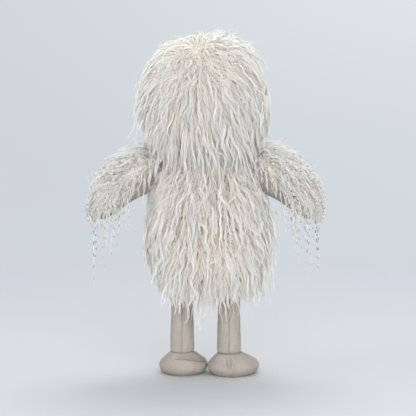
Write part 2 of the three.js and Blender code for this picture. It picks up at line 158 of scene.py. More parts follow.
def cloth_material(name, roughness, sheen=0.0, specular=0.3):
    """A material with one principled shader; returns the graph and the shader's inputs."""
    material, graph, output = new_material(name)
    shader = graph.add("ShaderNodeBsdfPrincipled")
    inputs = shader.node.inputs
    inputs["Roughness"].default_value = roughness
    inputs["Specular IOR Level"].default_value = specular
    inputs["Sheen Weight"].default_value = sheen
    graph.feed(output.inputs["Surface"], shader)
    return material, graph, inputs


print("node helper ready")

# %% [markdown]
# ## Surfaces through rows of points
# Paper, cloth and turned pieces are lofted: rows of points are joined by quads, and an end may close in one
# point. A Weave map keeps lengths along and across the cloth, so that linen can be woven on it later.

# %% Lofts
def round_turns(count):
    """Evenly spaced directions all the way round."""
    return np.linspace(0, 2 * math.pi, count, endpoint=False)


def rings(widths, depths, levels, turns):
    """Rows of points: an ellipse at each level."""
    rows = np.empty((len(levels), len(turns), 3))
    rows[..., 0] = np.outer(widths, np.cos(turns))
    rows[..., 1] = np.outer(depths, np.sin(turns))
    rows[..., 2] = np.asarray(levels)[:, None]
    return rows


def new_piece(name, mesh):
    made = bpy.data.objects.new(name, mesh)
    scene.collection.objects.link(made)
    return made


def loft(name, rows, closed=True, start=None, end=None):
    """Cloth through rows of points. Its Weave map holds the lengths along and across the cloth, in metres."""
    count, sides = rows.shape[:2]
    points = [tuple(point) for point in rows.reshape(-1, 3)]
    around = np.zeros((count, sides + 1))
    wrapped = np.concatenate([rows, rows[:, :1]], axis=1)
    around[:, 1:] = np.cumsum(np.linalg.norm(np.diff(wrapped, axis=1), axis=2), axis=1)
    along = np.zeros((count, sides + 1))
    along[1:] = np.cumsum(np.linalg.norm(np.diff(wrapped, axis=0), axis=2), axis=0)
    around -= around[:, sides // 2][:, None]
    faces, weave = [], []
    for row in range(count - 1):
        for side in range(sides if closed else sides - 1):
            after = (side + 1) % sides
            here, above = row * sides, (row + 1) * sides
            faces.append((here + side, here + after, above + after, above + side))
            weave += [(around[r, s], along[r, s])
                      for r, s in ((row, side), (row, side + 1), (row + 1, side + 1), (row + 1, side))]
    for apex, row, flip in ((start, 0, True), (end, count - 1, False)):
        if apex is None:
            continue
        tip = len(points)
        points.append(tuple(apex))
        height = along[row] + (-1 if flip else 1) * np.linalg.norm(wrapped[row] - np.array(apex), axis=1)
        for side in range(sides if closed else sides - 1):
            after = (side + 1) % sides
            corners = [(row * sides + side, side), (row * sides + after, side + 1), (tip, None)]
            if flip:
                corners = [corners[1], corners[0], corners[2]]
            faces.append(tuple(index for index, _ in corners))
            weave += [(around[row, s], along[row, s]) if s is not None
                      else ((around[row, side] + around[row, side + 1]) / 2, height[side]) for _, s in corners]
    mesh = bpy.data.meshes.new(name)
    mesh.from_pydata(points, [], faces)
    mesh.uv_layers.new(name="Weave").data.foreach_set("uv", np.array(weave, np.float32).ravel())
    mesh.polygons.foreach_set("use_smooth", [True] * len(faces))
    mesh.update()
    return new_piece(name, mesh)


def settled(piece):
    """Applies a piece's modifiers to its mesh."""
    view = bpy.context.evaluated_depsgraph_get()
    mesh = bpy.data.meshes.new_from_object(piece.evaluated_get(view))
    piece.modifiers.clear()
    old, piece.data = piece.data, mesh
    bpy.data.meshes.remove(old)
    mesh.name = piece.name
    return piece


def walled(piece, wall):
    """Gives cloth its thickness on the inside."""
    solidify = piece.modifiers.new("wall", "SOLIDIFY")
    solidify.thickness, solidify.offset = wall, -1
    return settled(piece)


print("loft ready")

# %% Paper floor and wall
paper, g, paper_output = new_material("paper")
place = g.place()
apart = g.add("ShaderNodeSeparateXYZ", place).node.outputs
# Painted light: the paper's colour shown to the camera grows paler higher up and towards −X, as if more light fell
# there.
to_right = g.smooth(apart["X"], 1.6, -1.4)
upward = g.smooth(apart["Z"], -0.1, 1.6)
wall_tone = g.colours(to_right, colour(205, 211, 217), colour(211, 218, 224))
top_tone = g.colours(to_right, colour(212, 216, 220), colour(230, 233, 238))
shown_tone = g.colours(upward, wall_tone, top_tone)
lit = g.add("ShaderNodeBsdfDiffuse", colour(200, 202, 205))
shown = g.add("ShaderNodeEmission", shown_tone, 1.0)
path = g.add("ShaderNodeLightPath").node.outputs
seen = g.math("MAXIMUM", path["Is Camera Ray"], path["Is Glossy Ray"])
seen = g.math("MAXIMUM", seen, path["Is Transmission Ray"])
away = g.vector("LENGTH", g.vector("MULTIPLY", place, (1.0, 1.0, 0.0))).node.outputs["Value"]
shown_share = g.math("MULTIPLY_ADD", g.smooth(away, 0.1, 1.6), 0.95, 0.05)
surface = g.add("ShaderNodeMixShader", g.times(seen, shown_share), lit, shown)
g.feed(paper_output.inputs["Surface"], surface)


def turned_stage(name, profile, centre=None):
    """A stage piece turned about the owl, from radii and heights."""
    radii, heights = np.array(profile).T
    made = loft(name, rings(radii, radii, heights, round_turns(96)), start=centre)
    made.data.materials.append(paper)
    return made


floor_radius, bend_radius, wall_height = 4.0, 1.2, 6.0
paper_floor = turned_stage("paper_floor", [(0.05, 0), (0.5, 0), (2.0, 0), (floor_radius, 0)], centre=(0, 0, 0))
bend = [(floor_radius + bend_radius * math.sin(turn), bend_radius - bend_radius * math.cos(turn))
        for turn in np.linspace(0, math.pi / 2, 14)]
paper_wall = turned_stage("paper_wall", [*bend, (floor_radius + bend_radius, wall_height)])
paper_wall.visible_diffuse = paper_wall.visible_shadow = False
print("paper floor and wall ready")

# %% Light
world = bpy.data.worlds.new("room")
scene.world = world
world.use_nodes = True
world.node_tree.nodes["Background"].inputs["Color"].default_value = (0.96, 0.98, 1.0, 1.0)
world.node_tree.nodes["Background"].inputs["Strength"].default_value = 0.64
scene.view_settings.view_transform = "Standard"
lamp_aim = Vector((0, 0, 0.22))


def softbox(name, place, size, watts, tone):
    lamp = bpy.data.lights.new(name, "AREA")
    lamp.size, lamp.energy, lamp.color = size, watts, tone
    holder = bpy.data.objects.new(name, lamp)
    scene.collection.objects.link(holder)
    holder.location = place
    holder.rotation_euler = (lamp_aim - Vector(place)).to_track_quat("-Z", "Y").to_euler()


softbox("over_camera", (-0.2, 1.9, 0.38), size=1.8, watts=53, tone=(1.0, 0.985, 0.96))
softbox("left_fill", (1.7, 0.6, 0.9), size=1.4, watts=6, tone=(0.98, 0.98, 1.0))
softbox("front", (-0.2, -0.9, 2.0), size=1.2, watts=23, tone=(1.0, 0.99, 0.97))

# %% [markdown]
# ## The stuffed forms
# Head, torso and feet are egg shapes: a girth that is fullest at one level and closes above and below it.
# The wings are egg-shaped flippers that bend down and twist along a curved middle line. The formulas and
# sizes are those of the CAD source, so that the cloth lies just where the solids are.

# %% Egg shapes
def egg(width, depth, low, widest, top, lower_fullness, upper_fullness):
    return dict(width=width, depth=depth, low=low, widest=widest, top=top,
                lower_fullness=lower_fullness, upper_fullness=upper_fullness)


def girth(shape, level):
    level = np.asarray(level, float)
    above = level >= shape["widest"]
    reach = np.where(above, shape["top"] - shape["widest"], shape["widest"] - shape["low"])
    fullness = np.where(above, shape["upper_fullness"], shape["lower_fullness"])
    share = np.clip(np.abs(level - shape["widest"]) / reach, 0, 1)
    return (1 - share ** fullness) ** (1 / fullness)


def drawn_in(shape, inset):
    """The same egg, smaller by an inset on every side but below."""
    return {**shape, "width": shape["width"] - inset, "depth": shape["depth"] - inset, "top": shape["top"] - inset}


def egg_levels(shape, low, high, count):
    """Levels that lie closer together where the outline turns in."""
    above, below = shape["top"] - shape["widest"], shape["widest"] - shape["low"]

    def angle(level):
        reach = above if level >= shape["widest"] else below
        return math.asin(max(-1, min(1, (level - shape["widest"]) / reach)))

    sines = np.sin(np.linspace(angle(low), angle(high), count))
    return shape["widest"] + sines * np.where(sines >= 0, above, below)


def egg_rows(shape, low, high, count, turns):
    levels = egg_levels(shape, low, high, count)
    share = girth(shape, levels)
    return rings(share * shape["width"], share * shape["depth"], levels, turns)


head_pile, torso_pile = 9 * mm, 11.5 * mm  # from the backing cloth to the outside of the locks
torso_egg = egg(77 * mm, 66 * mm, 98 * mm, 172 * mm, 300 * mm, 3, 2.2)
head_egg = egg(77 * mm, 70 * mm, 262 * mm, 335 * mm, 417 * mm, 3, 2.1)
neck_level, hip_level = 268 * mm, 107 * mm
torso_backing, head_backing = drawn_in(torso_egg, torso_pile), drawn_in(head_egg, head_pile)
print("backing is", round(2 * head_backing["width"] / mm), "mm wide at the head and",
      round(2 * torso_backing["width"] / mm), "mm at the torso")

# %% Wing shape
wing_length, wing_root, wing_widest = 102 * mm, 13 * mm, 50 * mm
wing_half_width, wing_half_thickness = 32 * mm, 21.5 * mm
droop_root, droop_tip, wing_turn = math.radians(24), math.radians(58), math.radians(18)
droop_radius = wing_length / (droop_tip - droop_root)
outline_fullness = 2.6
wing_outline = egg(0, 0, -wing_root, wing_widest, wing_length, outline_fullness, outline_fullness)
wing_section = egg(0, 0, -wing_root, wing_widest, wing_length, 2, 2.2)
shoulder = np.array([59.7502, 0, 259]) * mm


def wing_point(side, distance, across_by, up_by):
    """A point of the wing: a distance from the shoulder along its middle line, then across and up."""
    droop = droop_root + distance / droop_radius
    along = np.array([math.cos(droop), 0, -math.sin(droop)])
    twist = -wing_turn * distance / wing_length
    across = np.array([0, 1, 0]) * math.cos(twist) + np.cross(along, [0, 1, 0]) * math.sin(twist)
    up = np.cross(along, across)
    sunk = np.array([math.sin(droop) - math.sin(droop_root), 0, math.cos(droop) - math.cos(droop_root)])
    point = shoulder + droop_radius * sunk + across * across_by + up * up_by
    return point * (side, 1, 1)


def wing_rows(side, thinner, turns, count=36, slack=0.0):
    """Rows of points across the wing, drawn in by a thickness above and below but not at the edge seam. The lower
    side may hang slack near the shoulder."""
    rows = []
    for distance in egg_levels(wing_outline, -wing_root, wing_length, count)[1:-1]:
        half_width = wing_half_width * girth(wing_outline, distance)
        half_thickness = (wing_half_thickness - thinner) * girth(wing_section, distance)
        below = half_thickness + slack * math.exp(-((distance - 16 * mm) / (30 * mm)) ** 2)
        rows.append([wing_point(side, distance, half_width * math.cos(turn),
                                (half_thickness if turn < math.pi else below) * math.sin(turn)) for turn in turns])
    rows = np.array(rows)
    ends = wing_point(side, -wing_root, 0, 0), wing_point(side, wing_length, 0, 0)
    return (rows if side > 0 else rows[:, ::-1]), ends


wing_pile = 2.5 * mm
full_turn = round_turns(40)
print("wing tip in mm:", [round(float(part) / mm) for part in wing_point(1, wing_length, 0, 0)])

# %% [markdown]
# ## Something for the locks to lie on
# A lock that hangs down must not sink into the head, torso or wings. One helper object holds the plain
# backing forms of all of them. It is only an obstacle for the hair, and is removed when the hair has grown.

# %% Obstacle
obstacle_parts = [
    loft("head_form", egg_rows(head_backing, neck_level, head_backing["top"] - 0.2 * mm, 30, full_turn),
         start=(0, 0, neck_level), end=(0, 0, head_backing["top"])),
    loft("torso_form", egg_rows(torso_backing, hip_level, neck_level, 24, full_turn),
         start=(0, 0, hip_level), end=(0, 0, neck_level)),
]
for side, sign in signs.items():
    rows, ends = wing_rows(sign, wing_pile, full_turn)
    obstacle_parts.append(loft(f"{side}_wing_form", rows, start=ends[0], end=ends[1]))
with bpy.context.temp_override(active_object=obstacle_parts[0], selected_editable_objects=obstacle_parts):
    bpy.ops.object.join()
obstacle = obstacle_parts[0]
print("obstacle with", len(obstacle.data.polygons), "faces")

# %% [markdown]
# ## Locks that are combed by Geometry Nodes
# Long pile could be made with a hair system, but hair curves don't travel with an exported model, so each
# strand is a thin three-sided tube. Roots are scattered over the backing cloth. From every root a walker
# takes a few steps: it follows the comb, gravity bends it down, a sway makes it wavy, and the obstacle keeps
# it off the cloth. Its trail becomes a guide, the guide is copied into a few strands that meet at the tip,
# and that is one lock. The same tree makes wing yarn and fringe threads with other sizes.
# Each strand also carries how far along it a point is and a tint number. The colour depends on these two
# alone, so a small palette laid out by them in a texture map can hold it.

# %% Trees that make meshes
def new_tree(name, **inputs):
    """An empty tree; returns it with a helper for its nodes and the values that it is given."""
    tree = bpy.data.node_groups.new(name, "GeometryNodeTree")
    for socket, kind in inputs.items():
        tree.interface.new_socket(socket, in_out="INPUT", socket_type=f"NodeSocket{kind}")
    tree.interface.new_socket("made", in_out="OUTPUT", socket_type="NodeSocketGeometry")
    return tree, Graph(tree), tree.nodes.new("NodeGroupInput").outputs


def run_tree(tree, piece, values):
    """Runs a tree on a piece, whose mesh becomes what the tree makes."""
    modifier = piece.modifiers.new(tree.name, "NODES")
    modifier.node_group = tree
    for socket in tree.interface.items_tree:
        if socket.name in values:
            modifier[socket.identifier] = values[socket.name]
    return settled(piece)


print("tree helpers ready")

# %% Lock tree
tints, most_strands, most_roots = 32, 16.0, 5e5
fleck_shift = 0.6180  # moves knots and flecks along a strand by its tint number
lock_sizes = dict(spacing=6.5 * mm, length=58 * mm, spread=0.35, stray=0.38, stand=0.15, root_lift=1.5 * mm,
                  tip_lift=6.5 * mm, droop=0.13, wave=0.36, turns=2.0, lock_radius=1.6 * mm, tip_spread=0.15,
                  strand_radius=0.42 * mm, ruffle=0.9 * mm, knots=0.0, knots_along=1.0)
lock_tree, g, given = new_tree("combed locks", skin="Geometry", obstacle="Object", finish="Material",
                               **dict.fromkeys(("seed", "steps", "strands", "points"), "Int"),
                               **dict.fromkeys(lock_sizes, "Float"))


def named(name, kind="FLOAT"):
    return g.add("GeometryNodeInputNamedAttribute", name, data_type=kind)


def direction(name):
    return named(name, "FLOAT_VECTOR")


def store(geometry, name, value, kind="FLOAT", domain="POINT"):
    return g.add("GeometryNodeStoreNamedAttribute", geometry, None, name, value, data_type=kind, domain=domain)


def chance(low, high, number, shift):
    """A random number that stays the same for the same lock or strand."""
    seed = g.math("ADD", given["seed"], shift)
    return g.add("FunctionNodeRandomValue", data_type="FLOAT",
                 into={"Min": low, "Max": high, "ID": number, "Seed": seed})


roots = g.add("GeometryNodeDistributePointsOnFaces", given["skin"], None, given["spacing"], most_roots,
              named("density"), given["seed"], distribute_method="POISSON")
root_normal = roots.node.outputs["Normal"]
number = g.add("GeometryNodeInputIndex")
# One walker stands on each root. Its length, loft, phase and wave differ from lock to lock.
walker = store(roots, "lock", number, "INT")
walker = store(walker, "root_normal", root_normal, "FLOAT_VECTOR")
varied = g.math("ADD", 1.0, g.times(given["spread"], chance(-1.0, 1.0, number, 1)))
length = g.times(given["length"], named("share"), varied)
walker = store(walker, "step_length", g.math("DIVIDE", length, given["steps"]))
walker = store(walker, "loft", g.times(named("fluff"), chance(0.25, 1.1, number, 2)))
walker = store(walker, "phase", chance(0.0, 2 * math.pi, number, 3))
walker = store(walker, "waviness", g.times(given["wave"], chance(0.3, 1.5, number, 8)))
rate = chance(0.6 * 2 * math.pi, 1.4 * 2 * math.pi, number, 9)
walker = store(walker, "wave_rate", g.times(given["turns"], rate))
# It first heads along the comb, a little astray and a little upright.
stray = g.times(given["stray"], chance(-1.0, 1.0, number, 4))
aside = g.vector("CROSS_PRODUCT", direction("root_normal"), direction("comb"))
ahead = g.vector("SCALE", direction("comb"), g.math("COSINE", stray))
strayed = g.vector("ADD", ahead, g.vector("SCALE", aside, g.math("SINE", stray)))
upright = g.times(given["stand"], g.math("MINIMUM", named("fluff"), 1.5))
lean = g.vector("ADD", strayed, g.vector("SCALE", direction("root_normal"), upright))
walker = store(walker, "heading", g.vector("NORMALIZE", lean), "FLOAT_VECTOR")
walker = store(walker, "step", 0.0)
print("roots and first headings:", len(lock_tree.nodes), "nodes")

# %% Walk of the locks
obstacle_mesh = g.add("GeometryNodeObjectInfo", given["obstacle"]).node.outputs["Geometry"]
first = lock_tree.nodes.new("GeometryNodeRepeatInput")
last = lock_tree.nodes.new("GeometryNodeRepeatOutput")
first.pair_with_output(last)
last.repeat_items.clear()
last.repeat_items.new("GEOMETRY", "walker")
last.repeat_items.new("GEOMETRY", "trail")
for name, value in (("Iterations", given["steps"]), ("walker", walker), ("trail", walker)):
    g.feed(first.inputs[name], value)


def height_over(place, surface_normal):
    nearest = g.add("GeometryNodeProximity", obstacle_mesh, None, place, target_element="FACES")
    return g.vector("DOT_PRODUCT", g.vector("SUBTRACT", place, nearest), surface_normal)


def normal_under(place):
    surface = g.add("GeometryNodeInputNormal")
    return g.add("GeometryNodeSampleNearestSurface", data_type="FLOAT_VECTOR",
                 into={"Mesh": obstacle_mesh, "Value": surface, "Sample Position": place})


step_number = g.math("ADD", first.outputs["Iteration"], 1.0)
share = g.math("DIVIDE", step_number, given["steps"])
here = g.add("GeometryNodeInputPosition")
heading = direction("heading")
# A step slides along the obstacle where it would go in, and rises to the height wanted there.
lift = g.times(named("loft"), given["tip_lift"])
lift = g.math("ADD", given["root_lift"], g.times(lift, g.math("POWER", share, 0.5)))
normal_here = normal_under(here)
low = g.math("LESS_THAN", height_over(here, normal_here), lift)
inward = g.times(g.math("MINIMUM", g.vector("DOT_PRODUCT", heading, normal_here), 0.0), low)
slid = g.vector("NORMALIZE", g.vector("SUBTRACT", heading, g.vector("SCALE", normal_here, inward)))
ahead = g.vector("ADD", here, g.vector("SCALE", slid, named("step_length")))
normal_ahead = normal_under(ahead)
rise = g.math("MAXIMUM", g.math("SUBTRACT", lift, height_over(ahead, normal_ahead)), 0.0)
rise = g.math("MINIMUM", rise, g.times(named("step_length"), 0.7))
stepped = store(first.outputs["walker"], "next",
                g.vector("ADD", ahead, g.vector("SCALE", normal_ahead, rise)), "FLOAT_VECTOR")
# Gravity, a sway to the sides and a weaker one in and out turn the heading for the next step.
gone = g.vector("NORMALIZE", g.vector("SUBTRACT", direction("next"), here))
bend_down = g.times(given["droop"], named("pull"))
bent = g.mix("VECTOR", bend_down, gone, (0, 0, -1))
sideways = g.vector("NORMALIZE", g.vector("CROSS_PRODUCT", gone, direction("root_normal")))
angle = g.math("MULTIPLY_ADD", share, named("wave_rate"), named("phase"))
sway = g.vector("SCALE", sideways, g.times(named("waviness"), g.math("COSINE", angle)))
angle_out = g.math("MULTIPLY_ADD", angle, 0.83, named("phase"))
bob = g.times(named("waviness"), 0.4, g.math("COSINE", angle_out))
bob = g.vector("SCALE", direction("root_normal"), bob)
turned = g.vector("NORMALIZE", g.vector("ADD", g.vector("ADD", bent, sway), bob))
stepped = store(stepped, "heading", turned, "FLOAT_VECTOR")
stepped = g.add("GeometryNodeSetPosition", stepped, None, direction("next"))
stepped = store(stepped, "step", step_number)
joined = g.add("GeometryNodeJoinGeometry", stepped)
g.feed(joined.node.inputs[0], first.outputs["trail"])
g.feed(last.inputs["walker"], stepped)
g.feed(last.inputs["trail"], joined)
guides = g.add("GeometryNodePointsToCurves", last.outputs["trail"], named("lock", "INT"), named("step"))
print("walk:", len(lock_tree.nodes), "nodes")

# %% Strands round each guide
guides = g.add("GeometryNodeCurveSplineType", guides, spline_type="CATMULL_ROM")
guides = g.add("GeometryNodeResampleCurve", guides, None, given["points"])
copies = g.add("GeometryNodeDuplicateElements", guides, None, given["strands"], domain="SPLINE")
hair = store(copies, "copy", copies.node.outputs["Duplicate Index"], "INT", "CURVE")
copy = named("copy", "INT")
strand = g.math("ADD", g.times(named("lock", "INT"), most_strands), copy)
along = g.add("GeometryNodeSplineParameter")
tangent = g.add("GeometryNodeInputTangent")
flat = g.vector("NORMALIZE", g.vector("CROSS_PRODUCT", tangent, direction("root_normal")))
out = g.vector("CROSS_PRODUCT", flat, tangent)
# The strands stand in a flat ring round the guide. It narrows to the tip, and each strand flutters a little.
angle = g.math("MULTIPLY_ADD", g.math("DIVIDE", copy, given["strands"]), 2 * math.pi, named("phase"))
lock_size = chance(0.35, 1.5, named("lock", "INT"), 7)
narrow = g.mix("FLOAT", g.math("POWER", along, 1.4), 1.0, given["tip_spread"])
apart = g.times(given["lock_radius"], lock_size, narrow)
across = g.vector("SCALE", flat, g.times(apart, g.math("COSINE", angle)))
deep = g.vector("SCALE", out, g.times(apart, 0.55, g.math("SINE", angle)))
spot = g.add("ShaderNodeCombineXYZ", g.times(strand, 7.31), g.times(along, 2.2), 0.0)
flutter = g.noise(spot, 1.0, 1.0).node.outputs["Color"]
flutter = g.vector("SUBTRACT", flutter, (0.5, 0.5, 0.5))
flutter = g.vector("SCALE", flutter, g.times(given["ruffle"], 4.0, along))
shift = g.vector("ADD", g.vector("ADD", across, deep), flutter)
hair = g.add("GeometryNodeSetPosition", hair, None, None, shift)
hair = store(hair, "strand_t", along)
cell = g.math("FLOOR", g.times(chance(0.0, 0.9999, strand, 5), float(tints)))
hair = store(hair, "strand_cell", cell)
# A strand tapers, and is thicker at its knots.
taper = g.math("SUBTRACT", 1.0, g.times(g.math("POWER", named("strand_t"), 2.0), 0.88))
thick = g.times(given["strand_radius"], taper, chance(0.7, 1.25, strand, 6))
from_knot = g.math("MULTIPLY_ADD", named("strand_t"), given["knots_along"], g.times(cell, fleck_shift))
from_knot = g.math("ABSOLUTE", g.math("SUBTRACT", g.math("FRACT", from_knot), 0.5))
knot = g.math("MULTIPLY_ADD", g.smooth(from_knot, 0.2, 0.08), given["knots"], 1.0)
thick = g.times(thick, knot)
ring = g.add("GeometryNodeCurvePrimitiveCircle", 3, into={"Radius": 1.0})
ring = store(ring, "ring", g.math("DIVIDE", g.add("GeometryNodeInputIndex"), 3.0))
tubes = g.add("GeometryNodeCurveToMesh", hair, ring, thick, True)
# Its place in the palette has a column for the tint number and a row for how far along it is.
column = g.math("ADD", named("strand_cell"), g.math("MULTIPLY_ADD", named("ring"), 0.8, 0.2))
palette = g.add("ShaderNodeCombineXYZ", g.math("DIVIDE", column, float(tints)),
                g.math("MULTIPLY_ADD", named("strand_t"), 0.96, 0.02), 0.0)
tubes = store(tubes, "OFBake", palette, "FLOAT2", "CORNER")
tubes = g.add("GeometryNodeSetShadeSmooth", tubes)
tubes = g.add("GeometryNodeRealizeInstances", tubes)
tubes = g.add("GeometryNodeSetMaterial", tubes, None, given["finish"])
g.feed(lock_tree.nodes.new("NodeGroupOutput").inputs[0], tubes)
print("lock tree:", len(lock_tree.nodes), "nodes")

# %% Formulas for fields
def smoothstep(value, low, high):
    share = np.clip((value - low) / (high - low), 0, 1)
    return share * share * (3 - 2 * share)


def ramp(value, low, high):
    """Rises smoothly from 0 to 1 between two lengths in millimetres."""
    return smoothstep(value, low * mm, high * mm)


def bell(distance, width):
    return np.exp(-(distance / width) ** 2)


def noise_at(place, scale, shift=(0, 0, 0)):
    """Soft random numbers between -1 and 1, nearly alike where places are close together."""
    return np.array([noise.noise(Vector(p) * scale + Vector(shift)) for p in place])


def on_surface(ways, normal):
    """The part of each way that lies in the cloth, at length one."""
    flat = ways - normal * np.sum(ways * normal, axis=1, keepdims=True)
    return flat / np.maximum(np.linalg.norm(flat, axis=1, keepdims=True), 1e-9)


print("formulas ready")

# %% Growing a piece of pile
def paint(cloth, **fields):
    """Stores values on the cloth's points for the tree to read."""
    for name, values in fields.items():
        kind, key = ("FLOAT_VECTOR", "vector") if values.ndim == 2 else ("FLOAT", "value")
        layer = cloth.data.attributes.new(name, kind, "POINT")
        layer.data.foreach_set(key, np.ascontiguousarray(values, np.float32).ravel())


def points_of(cloth):
    """Places and normals of a mesh's points."""
    place = np.empty(len(cloth.data.vertices) * 3, np.float32)
    normal = np.empty_like(place)
    cloth.data.vertices.foreach_get("co", place)
    cloth.data.vertex_normals.foreach_get("vector", normal)
    return place.reshape(-1, 3).astype(float), normal.reshape(-1, 3).astype(float)


def move_points(piece, place):
    """Gives a mesh's points new places."""
    piece.data.vertices.foreach_set("co", np.ascontiguousarray(place, np.float32).ravel())
    piece.data.update()


working_layers = ("lock root_normal step_length loft phase waviness wave_rate heading step next copy ring "
                  "comb share pull density fluff").split()


def grow(name, cloth, finish, seed, steps=13, strands=6, points=10, **sizes):
    """Grows locks on a painted cloth and returns them as a plain mesh; the cloth is used up."""
    piece = run_tree(lock_tree, cloth, {**lock_sizes, **sizes, "obstacle": obstacle, "finish": finish, "seed": seed,
                                        "steps": steps, "strands": strands, "points": points})
    piece.name = piece.data.name = name
    for layer in working_layers:
        if layer in piece.data.attributes:
            piece.data.attributes.remove(piece.data.attributes[layer])
    piece.data.calc_loop_triangles()
    print(name, "has", len(piece.data.loop_triangles), "triangles")
    return piece


print("ready to grow")

# %% [markdown]
# ## Finish of the long pile
# The locks are cream yarn with pale tips; near the backing painted shade makes them warmer and darker.
# Tint numbers make neighbouring strands differ a little, as dyed yarn does.

# %% Long-pile finish
def pile_material(name, root, first, second):
    material, g, inputs = cloth_material(name, roughness=0.8, sheen=0.3, specular=0.15)
    inputs["Subsurface Weight"].default_value = 0.5
    inputs["Subsurface Radius"].default_value = (1.0, 0.95, 0.88)
    inputs["Subsurface Scale"].default_value = 1.5 * mm
    along = g.attribute("strand_t")
    tint = g.attribute("strand_cell")
    yarn = g.colours(g.math("DIVIDE", tint, tints - 1.0), first, second)
    # Painted shade: each strand's colour runs from the darker, warmer root shade at the backing to its own yarn tint.
    g.feed(inputs["Base Color"], g.colours(g.smooth(along, -0.1, 0.6), root, yarn))
    return material


head_yarn = pile_material("head_yarn", colour(231, 221, 207), colour(238, 235, 228), colour(245, 244, 240))
torso_yarn = pile_material("torso_yarn", colour(240, 230, 215), colour(247, 244, 238), colour(253, 252, 249))
head_underfur = pile_material("head_underfur", colour(230, 220, 206), colour(241, 237, 229), colour(249, 247, 242))
torso_underfur = pile_material("torso_underfur", colour(236, 220, 199), colour(246, 240, 230), colour(252, 249, 244))
wing_fur = pile_material("wing_hair", colour(212, 208, 202), colour(228, 226, 222), colour(241, 240, 237))
print("long-pile finishes ready")

# %% [markdown]
# ## Head
# The back panel and the front panel each have a backing cloth and three layers of pile: a short underfur that
# hides the cloth, the locks, and single frizzy hairs. They part at a whorl on the crown. On the face, which the
# photograph doesn't show, they are short and combed away from the round discs, so that the eyes stay free.

# %% Face places
face_level, disc_radius, disc_turn, disc_depth = 339 * mm, 29 * mm, math.radians(22), 7 * mm


def head_reach(outside, level, turn):
    """How far the head's cloth is from the middle at a level, in a direction turned from straight ahead."""
    shape = drawn_in(head_egg, 15 * mm - outside)
    share = girth(shape, level)
    return share / np.hypot(np.sin(turn) / shape["width"], np.cos(turn) / shape["depth"])


eye_reach = float(head_reach(disc_depth, face_level, disc_turn))
eye_axes = {side: np.array([sign * math.sin(disc_turn), -math.cos(disc_turn), 0]) for side, sign in signs.items()}
eye_places = {side: axis * eye_reach + (0, 0, face_level) for side, axis in eye_axes.items()}


def from_eye(place, side):
    """For each place its way out from the eye's axis, the length of that way, and how far it is in front."""
    offset = place - eye_places[side]
    depth = offset @ eye_axes[side]
    radial = offset - depth[..., None] * eye_axes[side]
    return radial, np.linalg.norm(radial, axis=-1), depth


print("eyes are", round(2 * eye_places["left"][0] / mm), "mm apart")

# %% How the head is combed
whorl = np.array([11, 38, 394]) * mm


def swirl(comb, place, normal, amount, scale, seed):
    """Turns the comb left and right, in broad patches so that locks part, and finely so that they meet in tufts."""
    broad, fine = noise_at(place, scale, (seed, 0, 0)), noise_at(place, 85, (0, seed, 0))
    turn = (broad * amount + fine * 0.9)[:, None]
    return comb * np.cos(turn) + np.cross(normal, comb) * np.sin(turn)


def hanging_share(place, hem, longest, least, ragged=16 * mm):
    """Shortens locks whose roots are low, so that their tips end near a ragged hem."""
    return np.clip((place[:, 2] - hem - noise_at(place, 60) * ragged) / longest, least, 1)


def tousled(place):
    """Tufts that lie flatter or stand off further than their neighbours, which makes the outline uneven."""
    return 1 + 0.8 * noise_at(place, 42, (0, 0, 31))


def head_fields(cloth, longest, under):
    """Combs the head's pile away from the whorl and the eyes. The underfur is evener than the locks."""
    place, normal = points_of(cloth)
    x, y, z = place.T
    from_whorl = np.linalg.norm(place - whorl, axis=1)
    comb = swirl(on_surface(place - whorl, normal), place, normal, 0.8, 28, 5)
    # Locks reach lower behind than in front, and are cropped over the wings.
    hem = 282 * mm - 52 * mm * ramp(y, 10, 55)
    hem = hem + np.where(x > 0, 26 * mm, 16 * mm) * ramp(np.abs(x), 30, 56) * (1 - ramp(y, 25, 52))
    share = hanging_share(place, hem, longest, 0.6 if under else 0.35, ragged=28 * mm)
    share = share * (0.5 + 0.5 * ramp(from_whorl, 8, 50))
    density = np.ones(len(place))
    if under:
        share = share * (1 - 0.45 * ramp(np.abs(x), 35, 58))
        density = density - 0.15 * (y > 0) * (1 - ramp(z, 350, 375))
    pull = 1 + 1.5 * ramp(-x, 25, 55)
    pull = pull + 0.8 * bell(x - 8 * mm, 9 * mm) * ramp(z, 392, 404)
    # Round the eyes the pile is short and combed outward, and none grows on the discs.
    for side in signs:
        radial, far, depth = from_eye(place, side)
        front = depth > -40 * mm
        near = front * (1 - smoothstep(far, disc_radius + 2 * mm, disc_radius + 24 * mm))
        outward = radial / np.maximum(far, 1e-6)[:, None]
        comb = on_surface(comb * (1 - near[:, None]) + outward * near[:, None], normal)
        share = share * (1 - 0.55 * near)
        pull = pull * (1 - 0.8 * near)
        density[front & (far < disc_radius + 0.5 * mm)] = 0
    below = z - (face_level - 8 * mm)
    density[(y < 0) & (np.abs(x) < 9 * mm) & (below < 14 * mm) & (below > -20 * mm)] = 0
    # The right side, the back, the crown and the sides of the neck lie flat.
    if under:
        fluff = 0.8 - 0.3 * ramp(-x, 25, 55) - 0.25 * ramp(z, 396, 408)
    else:
        fluff = 1 - 0.7 * ramp(-x, 10, 50) - 0.5 * ramp(np.abs(y), 30, 55)
        fluff = fluff * (1 - 0.3 * ramp(z, 372, 400)) * (0.6 + 0.4 * ramp(from_whorl, 4, 26))
    fluff = fluff * (1 - 0.55 * ramp(np.abs(x), 35, 56) * (1 - ramp(z, 295, 330)))
    fluff = np.minimum(fluff * (1 if under else tousled(place)), 1.15)
    return dict(comb=comb, share=share, density=density, pull=pull, fluff=fluff)


print("whorl at", whorl / mm, "mm")

